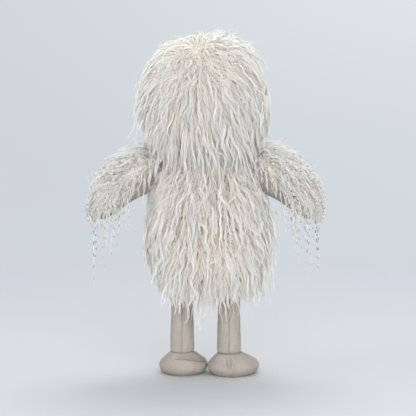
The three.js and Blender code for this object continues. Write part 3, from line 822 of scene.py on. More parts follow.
# %% Head locks
half_turns = {"back": np.linspace(0, math.pi, 41), "front": np.linspace(math.pi, 2 * math.pi, 41)}
head_low, head_top = 269 * mm, head_backing["top"] - 0.15 * mm
fine_pile = dict(steps=6, strands=2, points=5, spacing=2.5 * mm, length=32 * mm, stray=0.6, stand=0.8,
                 root_lift=0.5 * mm, tip_lift=9 * mm, wave=0.35, turns=1.3, lock_radius=1.8 * mm, tip_spread=1.0,
                 strand_radius=0.42 * mm, ruffle=1.6 * mm)
frizz = dict(steps=8, strands=1, points=11, spacing=5.2 * mm, length=44 * mm, spread=0.5, stray=0.8, stand=0.15,
             root_lift=2 * mm, tip_lift=6 * mm, droop=0.25, wave=0.45, turns=2.2, lock_radius=0.0,
             strand_radius=0.33 * mm, ruffle=1.2 * mm)
longest_underfur, longest_lock, longest_frizz = 28 * mm, 55 * mm, 44 * mm
head_locks = []
for half, turns in half_turns.items():
    for kind, finish, longest, sizes in (
        ("underfur", head_underfur, longest_underfur, fine_pile),
        ("locks", head_yarn, longest_lock, {}),
        ("frizz", head_yarn, longest_frizz, frizz),
    ):
        cloth = loft("cloth", egg_rows(head_backing, head_low, head_top, 44, turns), closed=False)
        paint(cloth, **head_fields(cloth, longest, kind == "underfur"))
        head_locks.append(grow(f"head_{half}_{kind}", cloth, finish, seed=11 + len(head_locks), **sizes))
print("head locks:", len(head_locks), "pieces")

# %% [markdown]
# ## Torso
# The torso's locks hang down and part to the sides. They leave room where the wings are sewn on, they are short
# on a worn patch of the back, and the lowest hang past the hem as a ragged skirt over the tops of the legs.

# %% How the torso is combed
def torso_fields(cloth, longest, under):
    """Combs the torso's pile down and to the sides, with a worn patch low on the back."""
    place, normal = points_of(cloth)
    x, y, z = place.T
    aside = np.abs(x)
    low_left = ramp(x, 25, 55) * (1 - ramp(z, 125, 185))
    shoulders = ramp(aside, 18, 42) * ramp(z, 222, 250)
    lean = np.clip(x * 11, -0.6, 0.45) - 0.15 * (1 - ramp(z, 130, 200)) - 0.8 * low_left
    lean = lean - 0.55 * ramp(x, 30, 55) * (1 - ramp(z, 205, 230))
    lean = lean + np.sign(x) * 0.3 * shoulders
    down = np.stack([lean, np.zeros(len(place)), -np.ones(len(place))], axis=1)
    comb = swirl(on_surface(down, normal), place, normal, 0.85, 26, 9)
    # The skirt of locks is lowest in the middle of the back and rises to the sides.
    hem = 95 * mm - 24 * mm * bell(x - 2 * mm, 15 * mm) * (y > 0)
    hem = hem + 46 * mm * ramp(x, 28, 56) + 10 * mm * ramp(-x, 45, 62)
    worn = bell(np.hypot((x + 9 * mm) / 30, (z - 182 * mm) / 22), mm) * (y > 0)
    share = hanging_share(place, hem, longest, 0.32) * (1 - 0.68 * worn) * (1 - 0.4 * shoulders)
    if under:
        share = share * (1 - 0.45 * ramp(aside, 35, 58))
    wing_room = ((y / (19 * mm)) ** 2 + ((z - 257 * mm) / (15 * mm)) ** 2 < 1) & (aside > 25 * mm)
    # The pile stands off at the shoulders and under the head, and lies flat at the sides.
    fluff = 1 + 0.9 * ramp(aside, 22, 45) * ramp(z, 215, 250)
    fluff = fluff - 0.35 * ramp(x, 25, 50) * (1 - ramp(z, 225, 255)) - 0.4 * low_left
    fluff = fluff - 0.4 * ramp(-x, 40, 60)
    fluff = fluff + np.where(y > 0, 1.0, 0.3) * ramp(z, 190, 230) * (1 - 0.8 * ramp(aside, 22, 50))
    fluff = fluff * (1 - 0.6 * worn)
    fluff = np.clip(np.maximum(fluff, 0.7 - 0.4 * worn) if under else fluff * tousled(place), 0.12, 1.65)
    pull = 1 + 1.2 * ramp(x, 25, 50) + 0.2 * ramp(-x, 35, 60)
    return dict(comb=comb, share=share, density=np.where(wing_room, 0.0, 1 - 0.82 * worn), pull=pull, fluff=fluff)


print("torso combed")

# %% Torso locks
torso_low, torso_half, torso_high = 109 * mm, 185 * mm, 267 * mm
torso_locks = []
for half, turns in half_turns.items():
    for kind, finish, longest, low, high, sizes in (
        ("underfur", torso_underfur, longest_underfur, torso_low, torso_high, fine_pile),
        ("locks_low", torso_yarn, longest_lock, torso_low, torso_half, {}),
        ("locks_high", torso_yarn, longest_lock, torso_half, torso_high, {}),
        ("frizz", torso_yarn, longest_frizz, torso_low, torso_high, frizz),
    ):
        cloth = loft("cloth", egg_rows(torso_backing, low, high, 40, turns), closed=False)
        paint(cloth, **torso_fields(cloth, longest, kind == "underfur"))
        torso_locks.append(grow(f"torso_{half}_{kind}", cloth, finish, seed=101 + len(torso_locks), **sizes))
print("torso locks:", len(torso_locks), "pieces")


# %% Backing cloth of head and torso
def face_bed(rows):
    """Draws the head's cloth in under the padded discs, so that they lie in the pile and not on top of it."""
    bed = drawn_in(head_egg, 14.4 * mm)
    share = (girth(bed, np.minimum(rows[..., 2], bed["top"])) * bed["width"]
             / np.maximum(girth(head_backing, rows[..., 2]) * head_backing["width"], 1e-6))
    near = np.zeros(rows.shape[:2])
    for side in signs:
        _, far, depth = from_eye(rows, side)
        over = 1 - smoothstep(far, disc_radius + 1 * mm, disc_radius + 5 * mm)
        near = np.maximum(near, (depth > -45 * mm) * over)
    drawn = rows.copy()
    drawn[..., :2] *= (1 - near * (1 - share))[..., None]
    return drawn


backings, cloth_wall = {}, 1.2 * mm
crown, nape = (0, 0, head_backing["top"]), (0, 0, neck_level)
for half, turns in half_turns.items():
    rows = face_bed(egg_rows(head_backing, neck_level, head_top, 44, turns))
    backings["head", half] = walled(loft(f"head_{half}_backing", rows, closed=False, start=nape, end=crown), cloth_wall)
    rows = egg_rows(torso_backing, hip_level + 1 * mm, neck_level, 26, turns)
    backings["torso", half] = walled(loft(f"torso_{half}_backing", rows, closed=False, end=nape), cloth_wall)
print("backing cloths:", [piece.name for piece in backings.values()])

# %% [markdown]
# ## Wings
# A wing is a stuffed flipper: a cover of hairy yarn fabric above, a linen lining below, and a fringe of loose
# threads along the edge seam. The yarn is cream with short dark flecks, a few millimetres long and about a
# centimetre apart. The tint number shifts the flecks along each strand, so no two neighbours line up.

# %% Flecked yarn finish
def flecked_material(name, flecks, dark, first, second):
    material, g, inputs = cloth_material(name, roughness=0.8, sheen=0.2, specular=0.15)
    along = g.attribute("strand_t")
    cell = g.attribute("strand_cell")
    tint = g.math("FRACT", g.times(cell, 0.3819))
    shifted = g.math("MULTIPLY_ADD", along, flecks, g.times(cell, fleck_shift))
    from_fleck = g.math("ABSOLUTE", g.math("SUBTRACT", g.math("FRACT", shifted), 0.5))
    fleck = g.smooth(from_fleck, 0.2, 0.12)
    shade = g.times(fleck, g.math("MULTIPLY_ADD", tint, 0.65, 0.35))
    g.feed(inputs["Base Color"], g.colours(shade, g.colours(tint, first, second), dark))
    return material


wing_flecks, fringe_flecks = 4.5, 6.0
wing_thread = flecked_material("flecked_yarn", wing_flecks, colour(122, 111, 102),
                               colour(236, 231, 223), colour(250, 248, 244))
fringe_thread = flecked_material("fringe_yarn", fringe_flecks, colour(124, 118, 115),
                                 colour(228, 229, 230), colour(240, 240, 240))
print("flecked yarns ready")

# %% Linen finish
def linen_material(name, pale, dark, pitch=0.75 * mm):
    """Plain weave from the Weave map: each yarn passes over one and under the next."""
    material, g, inputs = cloth_material(name, roughness=0.85, sheen=0.08, specular=0.25)
    weave = g.add("ShaderNodeUVMap", uv_map="Weave")
    yarns = g.vector("SCALE", weave, 1 / pitch)
    apart = g.add("ShaderNodeSeparateXYZ", yarns).node.outputs
    # In every other square the yarn along the cloth lies above the yarn across it.
    over, under = (g.math("ABSOLUTE", g.math("SINE", g.times(apart[way], math.pi))) for way in "XY")
    odd = g.math("ADD", g.math("FLOOR", apart["X"]), g.math("FLOOR", apart["Y"]))
    height = g.mix("FLOAT", g.math("FLOORED_MODULO", odd, 2.0), over, under)
    # Slubs are thick places, drawn out along either yarn.
    stretches = (0.9, 0.05, 1.0), (0.05, 0.9, 1.0)
    slubs = [g.noise(g.vector("MULTIPLY", yarns, stretch), 1.0, 2.0) for stretch in stretches]
    slub = g.math("ADD", g.times(slubs[0], 0.75), g.times(slubs[1], 0.25))
    broad = g.noise(weave, 45.0, 3.0)
    tone = g.math("ADD", g.times(slub, 0.7), g.times(broad, 0.3))
    # Painted shade: the tone is lighter along each yarn's crown and darker in the hollows between yarns.
    tone = g.math("ADD", g.smooth(tone, 0.25, 0.75), g.math("MULTIPLY_ADD", height, 0.3, -0.2), clamp=True)
    # Painted shade: where the crease attribute is high the linen is mixed towards a much darker colour, for the shade
    # in seams and grooves.
    crease = g.attribute("crease")
    shade = tuple(0.42 * part for part in dark[:3]) + (1.0,)
    g.feed(inputs["Base Color"], g.colours(crease, g.colours(tone, dark, pale), shade))
    raised = g.math("ADD", height, g.times(slub, 0.8))
    g.feed(inputs["Normal"], g.bump(raised, 0.35, 0.15 * mm))
    return material


linen = linen_material("linen", colour(175, 168, 161), colour(150, 142, 134))
beak_linen = linen_material("brown_linen", colour(166, 145, 122), colour(124, 104, 85))
print("linens ready")

# %% How the wings are combed
wing_yarns = {
    "wing_hair": (wing_fur, dict(
        steps=8, strands=4, points=8, spacing=3.8 * mm, length=34 * mm, stand=0.25, root_lift=0.4 * mm,
        tip_lift=5 * mm, droop=0.08, wave=0.4, turns=1.5, lock_radius=1.6 * mm, tip_spread=0.25,
        strand_radius=0.42 * mm, ruffle=1.0 * mm)),
    "wing_threads": (wing_thread, dict(
        steps=8, strands=1, points=26, spacing=3.9 * mm, length=33 * mm, stand=0.5, root_lift=3 * mm,
        tip_lift=6 * mm, droop=0.14, wave=0.35, turns=1.6, lock_radius=0.0, strand_radius=0.36 * mm,
        ruffle=0.7 * mm, knots=1.0, knots_along=wing_flecks)),
}


def wing_fields(cloth, side, longest, sparse):
    """Combs the yarn along the wing, shorter at the tip, and keeps it off the lining near the body."""
    place, normal = points_of(cloth)
    heel, toe = wing_point(side, 0, 0, 0), wing_point(side, wing_length, 0, 0)
    ahead = toe - heel
    reach = (place - heel) @ ahead / (ahead @ ahead)
    droop = droop_root + np.clip(reach, 0, 1) * (droop_tip - droop_root)
    along = np.stack([side * np.cos(droop), np.zeros(len(place)), -np.sin(droop)], axis=1)
    comb = swirl(on_surface(along, normal), place, normal, 0.8, 45, 3)
    share = np.clip((0.9 - reach) * wing_length / longest, 0.42, 1)
    density = np.where(normal[:, 2] < np.where(reach < 0.42, -0.3, -0.6), 0.0, 1.0)
    if sparse:
        density = density * (0.3 + 0.5 * smoothstep(reach, 0.15, 0.5)) * (1 - 0.4 * smoothstep(reach, 0.65, 1))
    pull = 1 + 3 * (1 - smoothstep(reach, 0.1, 0.4)) + 3 * smoothstep(reach, 0.4, 0.7)
    fluff = 1 - 0.6 * smoothstep(reach, 0.5, 0.9)
    fluff = fluff + 3 * (1 - smoothstep(reach, 0.05, 0.4)) * smoothstep(normal[:, 2], 0, 0.6)
    return dict(comb=comb, share=share, density=density, pull=pull, fluff=fluff)


print("wing yarns:", list(wing_yarns))

# %% Wing cover, lining and yarn
wing_pieces = {side: {} for side in signs}
upper, lower, hairy = (0, math.pi), (math.pi, 2 * math.pi), (-0.9, math.pi + 0.25)
for side, sign in signs.items():
    for kind, thinner, turns, slack in (("cover_backing", wing_pile, upper, 0), ("lining_cloth", 0, lower, 9 * mm)):
        rows, (heel, toe) = wing_rows(sign, thinner, np.linspace(*turns, 25), slack=slack)
        cloth = loft(f"{side}_wing_{kind}", rows, closed=False, start=heel, end=toe)
        wing_pieces[side][kind] = walled(cloth, cloth_wall)
    for kind, (finish, sizes) in wing_yarns.items():
        rows, _ = wing_rows(sign, wing_pile, np.linspace(*hairy, 31))
        cloth = loft("cloth", rows, closed=False)
        paint(cloth, **wing_fields(cloth, sign, sizes["length"], kind == "wing_threads"))
        seed = 200 + sign + 10 * len(kind)
        wing_pieces[side][kind] = grow(f"{side}_{kind}", cloth, finish, seed, spread=0.4, stray=0.4, **sizes)
print("wings:", {side: [piece.name for piece in made.values()] for side, made in wing_pieces.items()})

# %% Fringe
def edge_point(side, turn):
    """A point of the edge seam, from the front round the tip to the back and a little way to the shoulder."""
    off, power = 1.2 * mm, 2 / outline_fullness
    if turn > math.pi / 2:
        distance = wing_widest - (turn - math.pi / 2) * 40 * mm
        return wing_point(side, distance, wing_half_width * float(girth(wing_outline, distance)) + off, 0)
    reach = (wing_length - wing_widest + off) * math.cos(turn) ** power
    across = (wing_half_width + off) * abs(math.sin(turn)) ** power * (1 if turn > 0 else -1)
    return wing_point(side, wing_widest + reach, across, 0)


edge_turns = np.linspace(-math.pi / 2 + 0.02, math.pi / 2 + 0.4, 61)
for side, sign in signs.items():
    edge = np.array([edge_point(sign, turn) for turn in edge_turns])
    tape = np.stack([edge - (0, 0, 0.5 * mm), edge + (0, 0, 0.5 * mm)])
    cloth = loft("cloth", tape, closed=False)
    count = len(cloth.data.vertices)
    spread_out = np.random.default_rng(7).uniform(0.8, 1.2, count)
    runs = np.diff(edge, axis=0, append=edge[-1:] * 2 - edge[-2:-1])
    level = np.abs(runs[:, 0]) / np.linalg.norm(runs, axis=1)
    ones = np.ones(count)
    paint(cloth, comb=np.tile([0.0, 0, -1], (count, 1)), share=spread_out, pull=ones, fluff=ones,
          density=np.tile(np.clip(0.2 + 1.1 * level, 0, 1), 2))
    wing_pieces[side]["fringe"] = grow(
        f"{side}_wing_fringe_threads", cloth, fringe_thread, seed=300 + sign, steps=14, strands=1, points=60,
        spacing=4.2 * mm, length=66 * mm, spread=0.2, stray=0.0, stand=0.0, root_lift=0.0, tip_lift=0.0, droop=0.6,
        wave=0.12, turns=1.2, lock_radius=0.0, strand_radius=0.3 * mm, ruffle=0.8 * mm, knots=2.2,
        knots_along=fringe_flecks)
bpy.data.objects.remove(obstacle)
print("fringe threads ready")

# %% [markdown]
# ## Legs and feet
# The legs are narrow linen sleeves with one seam down the back, turned and stuffed hard; the feet are round
# linen cushions with a heel seam and a flat sole. Cloth simulation shapes them as filling does: air pressure
# swells the cloth while the sewn lines are held, so it bulges between its seams. The seams' creases are
# pressed in afterwards, because they are finer than the simulated cloth.

# %% Stuffing by cloth simulation
def stuffed(piece, sewn, most, pressure=1200.0, frames=20):
    """Swells a cloth, holding the sewn points, and moves no point further than a limit."""
    rest, _ = points_of(piece)
    held = piece.vertex_groups.new(name="sewn")
    held.add([int(index) for index in sewn], 1.0, "REPLACE")
    cloth = piece.modifiers.new("stuffing", "CLOTH")
    cloth.settings.vertex_group_mass = "sewn"
    cloth.settings.mass = 0.002
    cloth.settings.tension_stiffness = cloth.settings.compression_stiffness = 2.0
    cloth.settings.use_pressure = True
    cloth.settings.uniform_pressure_force = pressure
    cloth.settings.effector_weights.gravity = 0
    cloth.point_cache.frame_end = frames
    for number in range(1, frames + 1):
        scene.frame_set(number)
    view = bpy.context.evaluated_depsgraph_get()
    swollen = np.empty(rest.size, np.float32)
    piece.evaluated_get(view).data.vertices.foreach_get("co", swollen)
    moved = swollen.reshape(-1, 3) - rest
    far = np.linalg.norm(moved, axis=1, keepdims=True)
    placed = rest + moved * np.minimum(1, most / np.maximum(far, 1e-9))
    piece.modifiers.remove(cloth)
    piece.vertex_groups.clear()
    scene.frame_set(1)
    move_points(piece, placed)
    print(piece.name, "swelled by up to", round(float(far.max()) / mm, 1), "mm, kept within", most / mm)
    return piece


def finer(piece, levels):
    subdivision = piece.modifiers.new("finer", "SUBSURF")
    subdivision.levels = subdivision.render_levels = levels
    return settled(piece)


def pressed(piece, height_at, shade_at=None):
    """Moves points along their normals by a height at their place, and notes where a crease holds shade."""
    place, normal = points_of(piece)
    if shade_at is not None:
        paint(piece, crease=np.clip(shade_at(place), 0, 1))
    move_points(piece, place + normal * height_at(place)[:, None])
    return piece


stances = {"left": (28.5 * mm, 0.0, math.radians(-2)), "right": (-28.5 * mm, 7 * mm, math.radians(-23))}


def stood(side, rows):
    """Puts a leg's rows, whose origin is on the floor below the hip, in their place on the owl."""
    x, y, turn = stances[side]
    cosine, sine = math.cos(turn), math.sin(turn)
    placed = np.empty_like(rows)
    placed[..., 0] = x + cosine * rows[..., 0] - sine * rows[..., 1]
    placed[..., 1] = y + sine * rows[..., 0] + cosine * rows[..., 1]
    placed[..., 2] = rows[..., 2]
    return placed


print("stances:", stances)

# %% Leg sleeves
leg_pieces = {side: {} for side in signs}
ankle_crease, dome_radius, linen_wall, most_swelling = 28.2 * mm, 12.6 * mm, 1 * mm, 0.9 * mm
by_the_seam = np.array([0.35, 0.75, 1.2, 1.8, 2.6, 3.8, 5.4]) / 14.0
rest_of_turn = np.linspace(0.5, 2 * math.pi - 0.5, 34)
sleeve_turns = np.sort(np.concatenate([[0], by_the_seam, -by_the_seam, rest_of_turn]) % (2 * math.pi))
hip, leg_span, top_radius, flare, inset = 107, 97, 13, 2.6, 0.4  # in mm; the leg widens towards the ankle
sleeve_levels = np.concatenate([[27.6, 28.3, 29.0, 29.8], np.linspace(31, hip, 32)]) * mm
sleeve_radii = (top_radius + flare * (hip - sleeve_levels / mm) / leg_span) * mm - inset * mm
sleeve_radii[:3] -= np.array([2.2, 1.6, 0.5]) * mm  # turned in at the ankle seam
dome = np.linspace(0.25, 1.3, 5)
sleeve_levels = np.concatenate([sleeve_levels, hip_level + dome_radius * np.sin(dome)])
sleeve_radii = np.concatenate([sleeve_radii, dome_radius * np.cos(dome)])
for side, (hip_x, hip_y, turn) in stances.items():
    turns = math.pi / 2 - turn + sleeve_turns  # the seam is straight behind
    rows = stood(side, rings(sleeve_radii, sleeve_radii, sleeve_levels, turns))
    sleeve = loft(f"{side}_leg_linen", rows, end=(hip_x, hip_y, hip_level + dome_radius))
    place, _ = points_of(sleeve)
    sewn = np.flatnonzero((np.abs(place[:, 0] - hip_x) < 0.2 * mm) & (place[:, 1] > hip_y)
                          | (place[:, 2] < 28.5 * mm) | (place[:, 2] > hip_level + 6 * mm))
    stuffed(sleeve, sewn, most_swelling)
    finer(sleeve, 1)

    def off_seam(place):
        return np.where(place[:, 1] > hip_y, place[:, 0] - hip_x, 1.0)

    def crease(place):
        off = off_seam(place)
        folded = (0.35 * bell(np.abs(off) - 1.3 * mm, 0.7 * mm) - 0.7 * bell(off, 0.55 * mm)) * mm
        return folded + noise_at(place * (60, 60, 130), 1) * 0.35 * mm

    # Painted shade, stored as the crease attribute: along the back seam and in the ankle groove.
    def shade(place):
        return 0.2 * bell(off_seam(place), 0.6 * mm) + 0.35 * bell(place[:, 2] - ankle_crease, 0.9 * mm)

    leg_pieces[side]["leg"] = walled(pressed(sleeve, crease, shade), linen_wall)
print("leg sleeves ready")

# %% Feet
foot_shape = egg(30 * mm, 38 * mm, -5 * mm, 10 * mm, 36 * mm, 2.2, 1.2)
foot_height, ankle_hole, foot_floor = 31 * mm, 12.4 * mm, 1.65 * mm


def foot_middle(level):
    """The foot's middle is in front of the leg, most at the floor."""
    return -16 * mm * (1 - np.clip(level / foot_height, 0, 1) ** 1.5)


def foot_rows(levels, turns, inset=0.0):
    shape = drawn_in(foot_shape, inset)
    share = girth(shape, np.minimum(levels, shape["top"]))
    rows = rings(share * shape["width"], share * shape["depth"], levels, turns)
    rows[..., 1] += foot_middle(levels)[:, None]
    hole = np.full(len(levels), ankle_hole)
    closing = ramp(levels, 26.3, 28.6)[:, None, None]
    return rows * (1 - closing) + rings(hole, hole, levels, turns) * closing


def seam_level(turn):
    """The left foot's seam is high on the heel and lower along the inner side."""
    return (13.5 + 8.5 * np.maximum(0, np.sin(turn)) ** 1.5) * mm


def soft(place):
    """Gentle unevenness of stuffed linen."""
    return noise_at(place, 75) * 0.35 * mm


foot_turns = round_turns(72)
foot_levels = np.concatenate([np.linspace(1.7, 26, 16), [27.2, 28.4, 29.5]]) * mm
grid_turns = np.tile(foot_turns, len(foot_levels))
grid_levels = np.repeat(foot_levels, len(foot_turns))
heel_seam = (np.abs(grid_levels - seam_level(grid_turns)) < 0.9 * mm) & (np.abs(grid_turns - 2.1) < 1)
fullness = {"left": (1.5 * mm, 0.0), "right": (0.6 * mm, 2 * mm)}  # on the inner and the outer side
for side, (hip_x, hip_y, turn) in stances.items():
    foot = loft(f"{side}_foot_linen", stood(side, foot_rows(foot_levels, foot_turns)))
    sewn = heel_seam & (side == "left") | (grid_levels < 1.8 * mm) | (grid_levels > 28 * mm)
    stuffed(foot, np.flatnonzero(sewn), most_swelling)
    finer(foot, 2)

    def sewn_line(place):
        """How deep a point of the foot lies in its seam: the left heel's overlap or the right heel's pucker."""
        x, y, level = place[:, 0] - hip_x, place[:, 1] - hip_y, place[:, 2]
        ahead = -math.sin(turn) * x + math.cos(turn) * y - foot_middle(level)
        aside = math.cos(turn) * x + math.sin(turn) * y
        around = np.arctan2(ahead / foot_shape["depth"], aside / foot_shape["width"])
        if side == "left":
            off_seam = level - seam_level(around) - soft(place)
            sewn_here = smoothstep(around, 1.0, 1.4) * (1 - smoothstep(around, 3.0, 3.12))
            overlap = 0.35 * ramp(off_seam, 0, 1) * (1 - ramp(off_seam, 2, 8))
            return (overlap + bell(off_seam, 0.6 * mm)) * sewn_here
        off_pucker, over_pucker = (around - 1.92) * 31 * mm, level - 17 * mm
        folds = 0.5 - 0.5 * np.cos(off_pucker / (0.55 * mm + 0.09 * np.abs(over_pucker + 4 * mm)))
        folds = folds * bell(off_pucker, 8 * mm) * bell(over_pucker, 7 * mm)
        return folds + 0.6 * bell(off_pucker, 0.9 * mm) * bell(over_pucker + 2 * mm, 4 * mm)

    def fuller(place):
        """The filling pushes the sides out, most at half height."""
        inner, outer = fullness[side]
        inward = (hip_x - place[:, 0]) * np.sign(hip_x)
        return bell(place[:, 2] - 12 * mm, 8 * mm) * (inner * ramp(inward, 8, 26) + outer * ramp(-inward, 8, 26))

    # Painted shade, stored as the crease attribute: in the left heel's seam, in the right heel's pucker and in the
    # ankle groove.
    pressed(foot, lambda place: soft(place) + fuller(place) - 1.5 * mm * sewn_line(place),
            lambda place: 0.6 * sewn_line(place) + 0.35 * bell(place[:, 2] - ankle_crease, 1 * mm))
    place, _ = points_of(foot)
    place[:, 2] = np.maximum(place[:, 2], foot_floor)
    move_points(foot, place)
    leg_pieces[side]["foot"] = walled(foot, linen_wall)
print("feet ready")

# %% Flat linen panels
def flat_panel(name, outlines, bottom, thickness):
    """A flat cloth panel with holes, its edges slightly rounded, from closed outlines."""
    curve = bpy.data.curves.new(name, "CURVE")
    curve.dimensions, curve.fill_mode = "2D", "BOTH"
    curve.bevel_depth = 0.3 * mm
    curve.extrude = thickness / 2 - curve.bevel_depth
    curve.bevel_resolution = 1
    curve.offset = -curve.bevel_depth
    for outline in outlines:
        spline = curve.splines.new("POLY")
        spline.points.add(len(outline) - 1)
        spline.use_cyclic_u = True
        for point, (x, y) in zip(spline.points, outline):
            point.co = (x, y, 0, 1)
    holder = new_piece(name, curve)
    view = bpy.context.evaluated_depsgraph_get()
    mesh = bpy.data.meshes.new_from_object(holder.evaluated_get(view))
    bpy.data.objects.remove(holder)
    piece = new_piece(name, mesh)
    fill = bmesh.new()
    fill.from_mesh(mesh)
    bmesh.ops.remove_doubles(fill, verts=fill.verts, dist=0.01 * mm)
    bmesh.ops.recalc_face_normals(fill, faces=fill.faces)
    weave = fill.loops.layers.uv.new("Weave")
    for face in fill.faces:
        for corner in face.loops:
            corner[weave].uv = corner.vert.co.xy
    fill.to_mesh(mesh)
    fill.free()
    mesh.transform(Matrix.Translation((0, 0, bottom + thickness / 2)))
    return piece


def ellipse(width, depth, middle=(0, 0)):
    return rings([width], [depth], [0], panel_turns)[0, :, :2] + middle


panel_turns, panel_wall = round_turns(64), 1.6 * mm
for side in stances:
    outline = stood(side, foot_rows(np.array([1 * mm]), panel_turns, inset=2.5 * mm))[0, :, :2]
    leg_pieces[side]["sole"] = flat_panel(f"{side}_foot_sole_linen", [outline], 0, panel_wall)
base_share = float(girth(torso_egg, hip_level + 1 * mm))
outlines = [ellipse(*(torso_backing[way] * base_share - 1.5 * mm for way in ("width", "depth")))]
outlines += [ellipse(14 * mm, 18 * mm, stance[:2]) for stance in stances.values()]
base_panel = flat_panel("torso_base_linen", outlines, 106.2 * mm, panel_wall)
print("flat panels ready")

# %% [markdown]
# ## Face
# The photograph hides the face, so it is a plain owl's face of its kind: two padded felt discs with a row of
# stitches round each, domed dark eyes on stems, and a small stuffed beak.

# %% Felt, eye and thread finishes
felt, g, inputs = cloth_material("felt", roughness=0.95, sheen=0.3, specular=0.15)
place = g.place()
fibres = g.noise(place, 900.0, 4.0)
patches = g.noise(place, 60.0, 2.0)
tone = g.math("ADD", g.times(fibres, 0.6), g.times(patches, 0.4))
g.feed(inputs["Base Color"], g.colours(g.smooth(tone, 0.3, 0.7), colour(206, 196, 180), colour(236, 230, 218)))
g.feed(inputs["Normal"], g.bump(fibres, 0.5, 0.3 * mm))

eye_gloss, g, inputs = cloth_material("polished_eye", roughness=0.08, specular=0.5)
clouds = g.noise(g.place(), 140.0, 2.0)
g.feed(inputs["Base Color"], g.colours(clouds, colour(16, 12, 10), colour(38, 27, 20)))
inputs["Coat Weight"].default_value = 0.6
inputs["Coat Roughness"].default_value = 0.04

thread, g, inputs = cloth_material("sewing_thread", roughness=0.6, sheen=0.1)
twist = g.noise(g.place(), 2500.0, 1.0)
g.feed(inputs["Base Color"], g.colours(twist, colour(168, 154, 136), colour(212, 201, 186)))
print("face finishes ready")

# %% Turned pieces and places on the face
def lathe(name, profile, origin, axis, sides=40):
    """A turned piece whose profile gives radius and height along an axis."""
    axis = np.array(axis) / np.linalg.norm(axis)
    first_way = np.cross(axis, [0, 0, 1.0])
    first_way /= np.linalg.norm(first_way)
    second_way = np.cross(axis, first_way)
    turns = round_turns(sides)
    ring = np.cos(turns)[:, None] * first_way + np.sin(turns)[:, None] * second_way
    rows = np.array([origin + axis * height + ring * radius for radius, height in profile[1:-1]])
    return loft(name, rows, start=origin + axis * profile[0][1], end=origin + axis * profile[-1][1])


def on_face(side, radius, turn, outside, gap):
    """A point at a radius round an eye, outside the head's cloth and kept off the middle line by a gap."""
    sign, axis = signs[side], eye_axes[side]
    sideways, up = np.array([-axis[1], axis[0], 0]), np.array([0, 0, 1.0])
    spot = eye_places[side] + radius * (math.cos(turn) * sideways + math.sin(turn) * up)
    bearing = math.atan2(sign * max(sign * spot[0], gap), -spot[1])
    reach = float(head_reach(outside, spot[2], bearing))
    return math.sin(bearing) * reach, -math.cos(bearing) * reach, spot[2]


print("edge of the left face disc in mm:", [round(part / mm) for part in on_face("left", disc_radius, 0, 0, 0)])

# %% Face discs, eyes and beak
# Shares of the disc's radius, and how far the felt stands off there in mm.
disc_profile = ((1.0, 0.6), (1.0, 2.6), (0.985, 4.2), (0.955, 5.4), (0.9, 6.2), (0.8, 6.7), (0.65, 7), (0.5, 7),
                (0.38, 6.8), (0.31, 6.2))
# Radii and heights of the eye in mm: its stem and rim, and its dome.
eye_rim = [(0, -16), (2.3, -16), (2.5, -15.6), (2.5, -2.4), (8.2, -1.4), (8.8, -1.0), (9, -0.4)]
eye_dome = [(9 * math.cos(turn), 6 * math.sin(turn)) for turn in np.linspace(0, 1.5, 12)]
eye_profile = [(radius * mm, height * mm) for radius, height in [*eye_rim, *eye_dome, (0, 6)]]
face_pieces = {}
for side in signs:
    rows = [[on_face(side, disc_radius * share, turn, outside * mm, 0.6 * mm * (2 - share)) for turn in round_turns(72)]
            for share, outside in disc_profile]
    disc = walled(loft(f"{side}_face_felt", np.array(rows)), 0.9 * mm)
    eye = lathe(f"{side}_eye_dome", eye_profile, eye_places[side], eye_axes[side])
    face_pieces[side] = dict(disc=disc, eye=eye)
beak_low, beak_top = 315 * mm, 340 * mm
beak_egg = egg(7 * mm, 9 * mm, beak_low, 331 * mm, beak_top, 1.5, 2)
rows = egg_rows(beak_egg, 315.4 * mm, 339.8 * mm, 24, round_turns(36))
rows[..., 1] -= float(head_reach(disc_depth, face_level, 0.0))
middle = float(rows[0, :, 1].mean())
beak = loft("beak_linen", rows, start=(0, middle, beak_low), end=(0, middle, beak_top))
pressed(beak, lambda place: -0.45 * mm * bell(place[:, 0], 0.45 * mm) * (place[:, 1] < middle))
print("face pieces ready")

# %% Stitches along a path
stitch_tree, g, given = new_tree("stitches", path="Geometry", pitch="Float", length="Float", radius="Float",
                                 finish="Material")
line = g.add("GeometryNodeMeshToCurve", given["path"])
spots = g.add("GeometryNodeCurveToPoints", line, into={"Length": given["pitch"]}, mode="LENGTH")
half = g.times(given["length"], 0.5)
start = g.add("ShaderNodeCombineXYZ", 0.0, 0.0, g.times(half, -1.0))
bar = g.add("GeometryNodeCurvePrimitiveLine", start, g.add("ShaderNodeCombineXYZ", 0.0, 0.0, half))
bar = g.add("GeometryNodeResampleCurve", bar, None, 5)
rounded = g.add("GeometryNodeSplineParameter")
bulge = g.math("SINE", g.math("MULTIPLY_ADD", rounded, math.pi * 0.84, math.pi * 0.08))
ring = g.add("GeometryNodeCurvePrimitiveCircle", 6, into={"Radius": 1.0})
stitch = g.add("GeometryNodeCurveToMesh", bar, ring, g.times(given["radius"], bulge), True)
turned = spots.node.outputs["Rotation"]
placed = g.add("GeometryNodeInstanceOnPoints", spots, into={"Instance": stitch, "Rotation": turned})
placed = g.add("GeometryNodeRealizeInstances", placed)
placed = g.add("GeometryNodeSetShadeSmooth", placed)
placed = g.add("GeometryNodeSetMaterial", placed, None, given["finish"])
g.feed(stitch_tree.nodes.new("NodeGroupOutput").inputs[0], placed)


def sew(name, path, pitch=3 * mm, length=2 * mm, radius=0.28 * mm):
    mesh = bpy.data.meshes.new(name)
    mesh.from_pydata(path, [(i, (i + 1) % len(path)) for i in range(len(path))], [])
    piece = run_tree(stitch_tree, new_piece(name, mesh), dict(pitch=pitch, length=length, radius=radius, finish=thread))
    print(name, "has", len(piece.data.polygons), "faces")
    return piece


for side in signs:
    path = [on_face(side, 0.9 * disc_radius, turn, 6.2 * mm, 3 * mm) for turn in round_turns(90)]
    face_pieces[side]["stitches"] = sew(f"{side}_face_stitches", path)
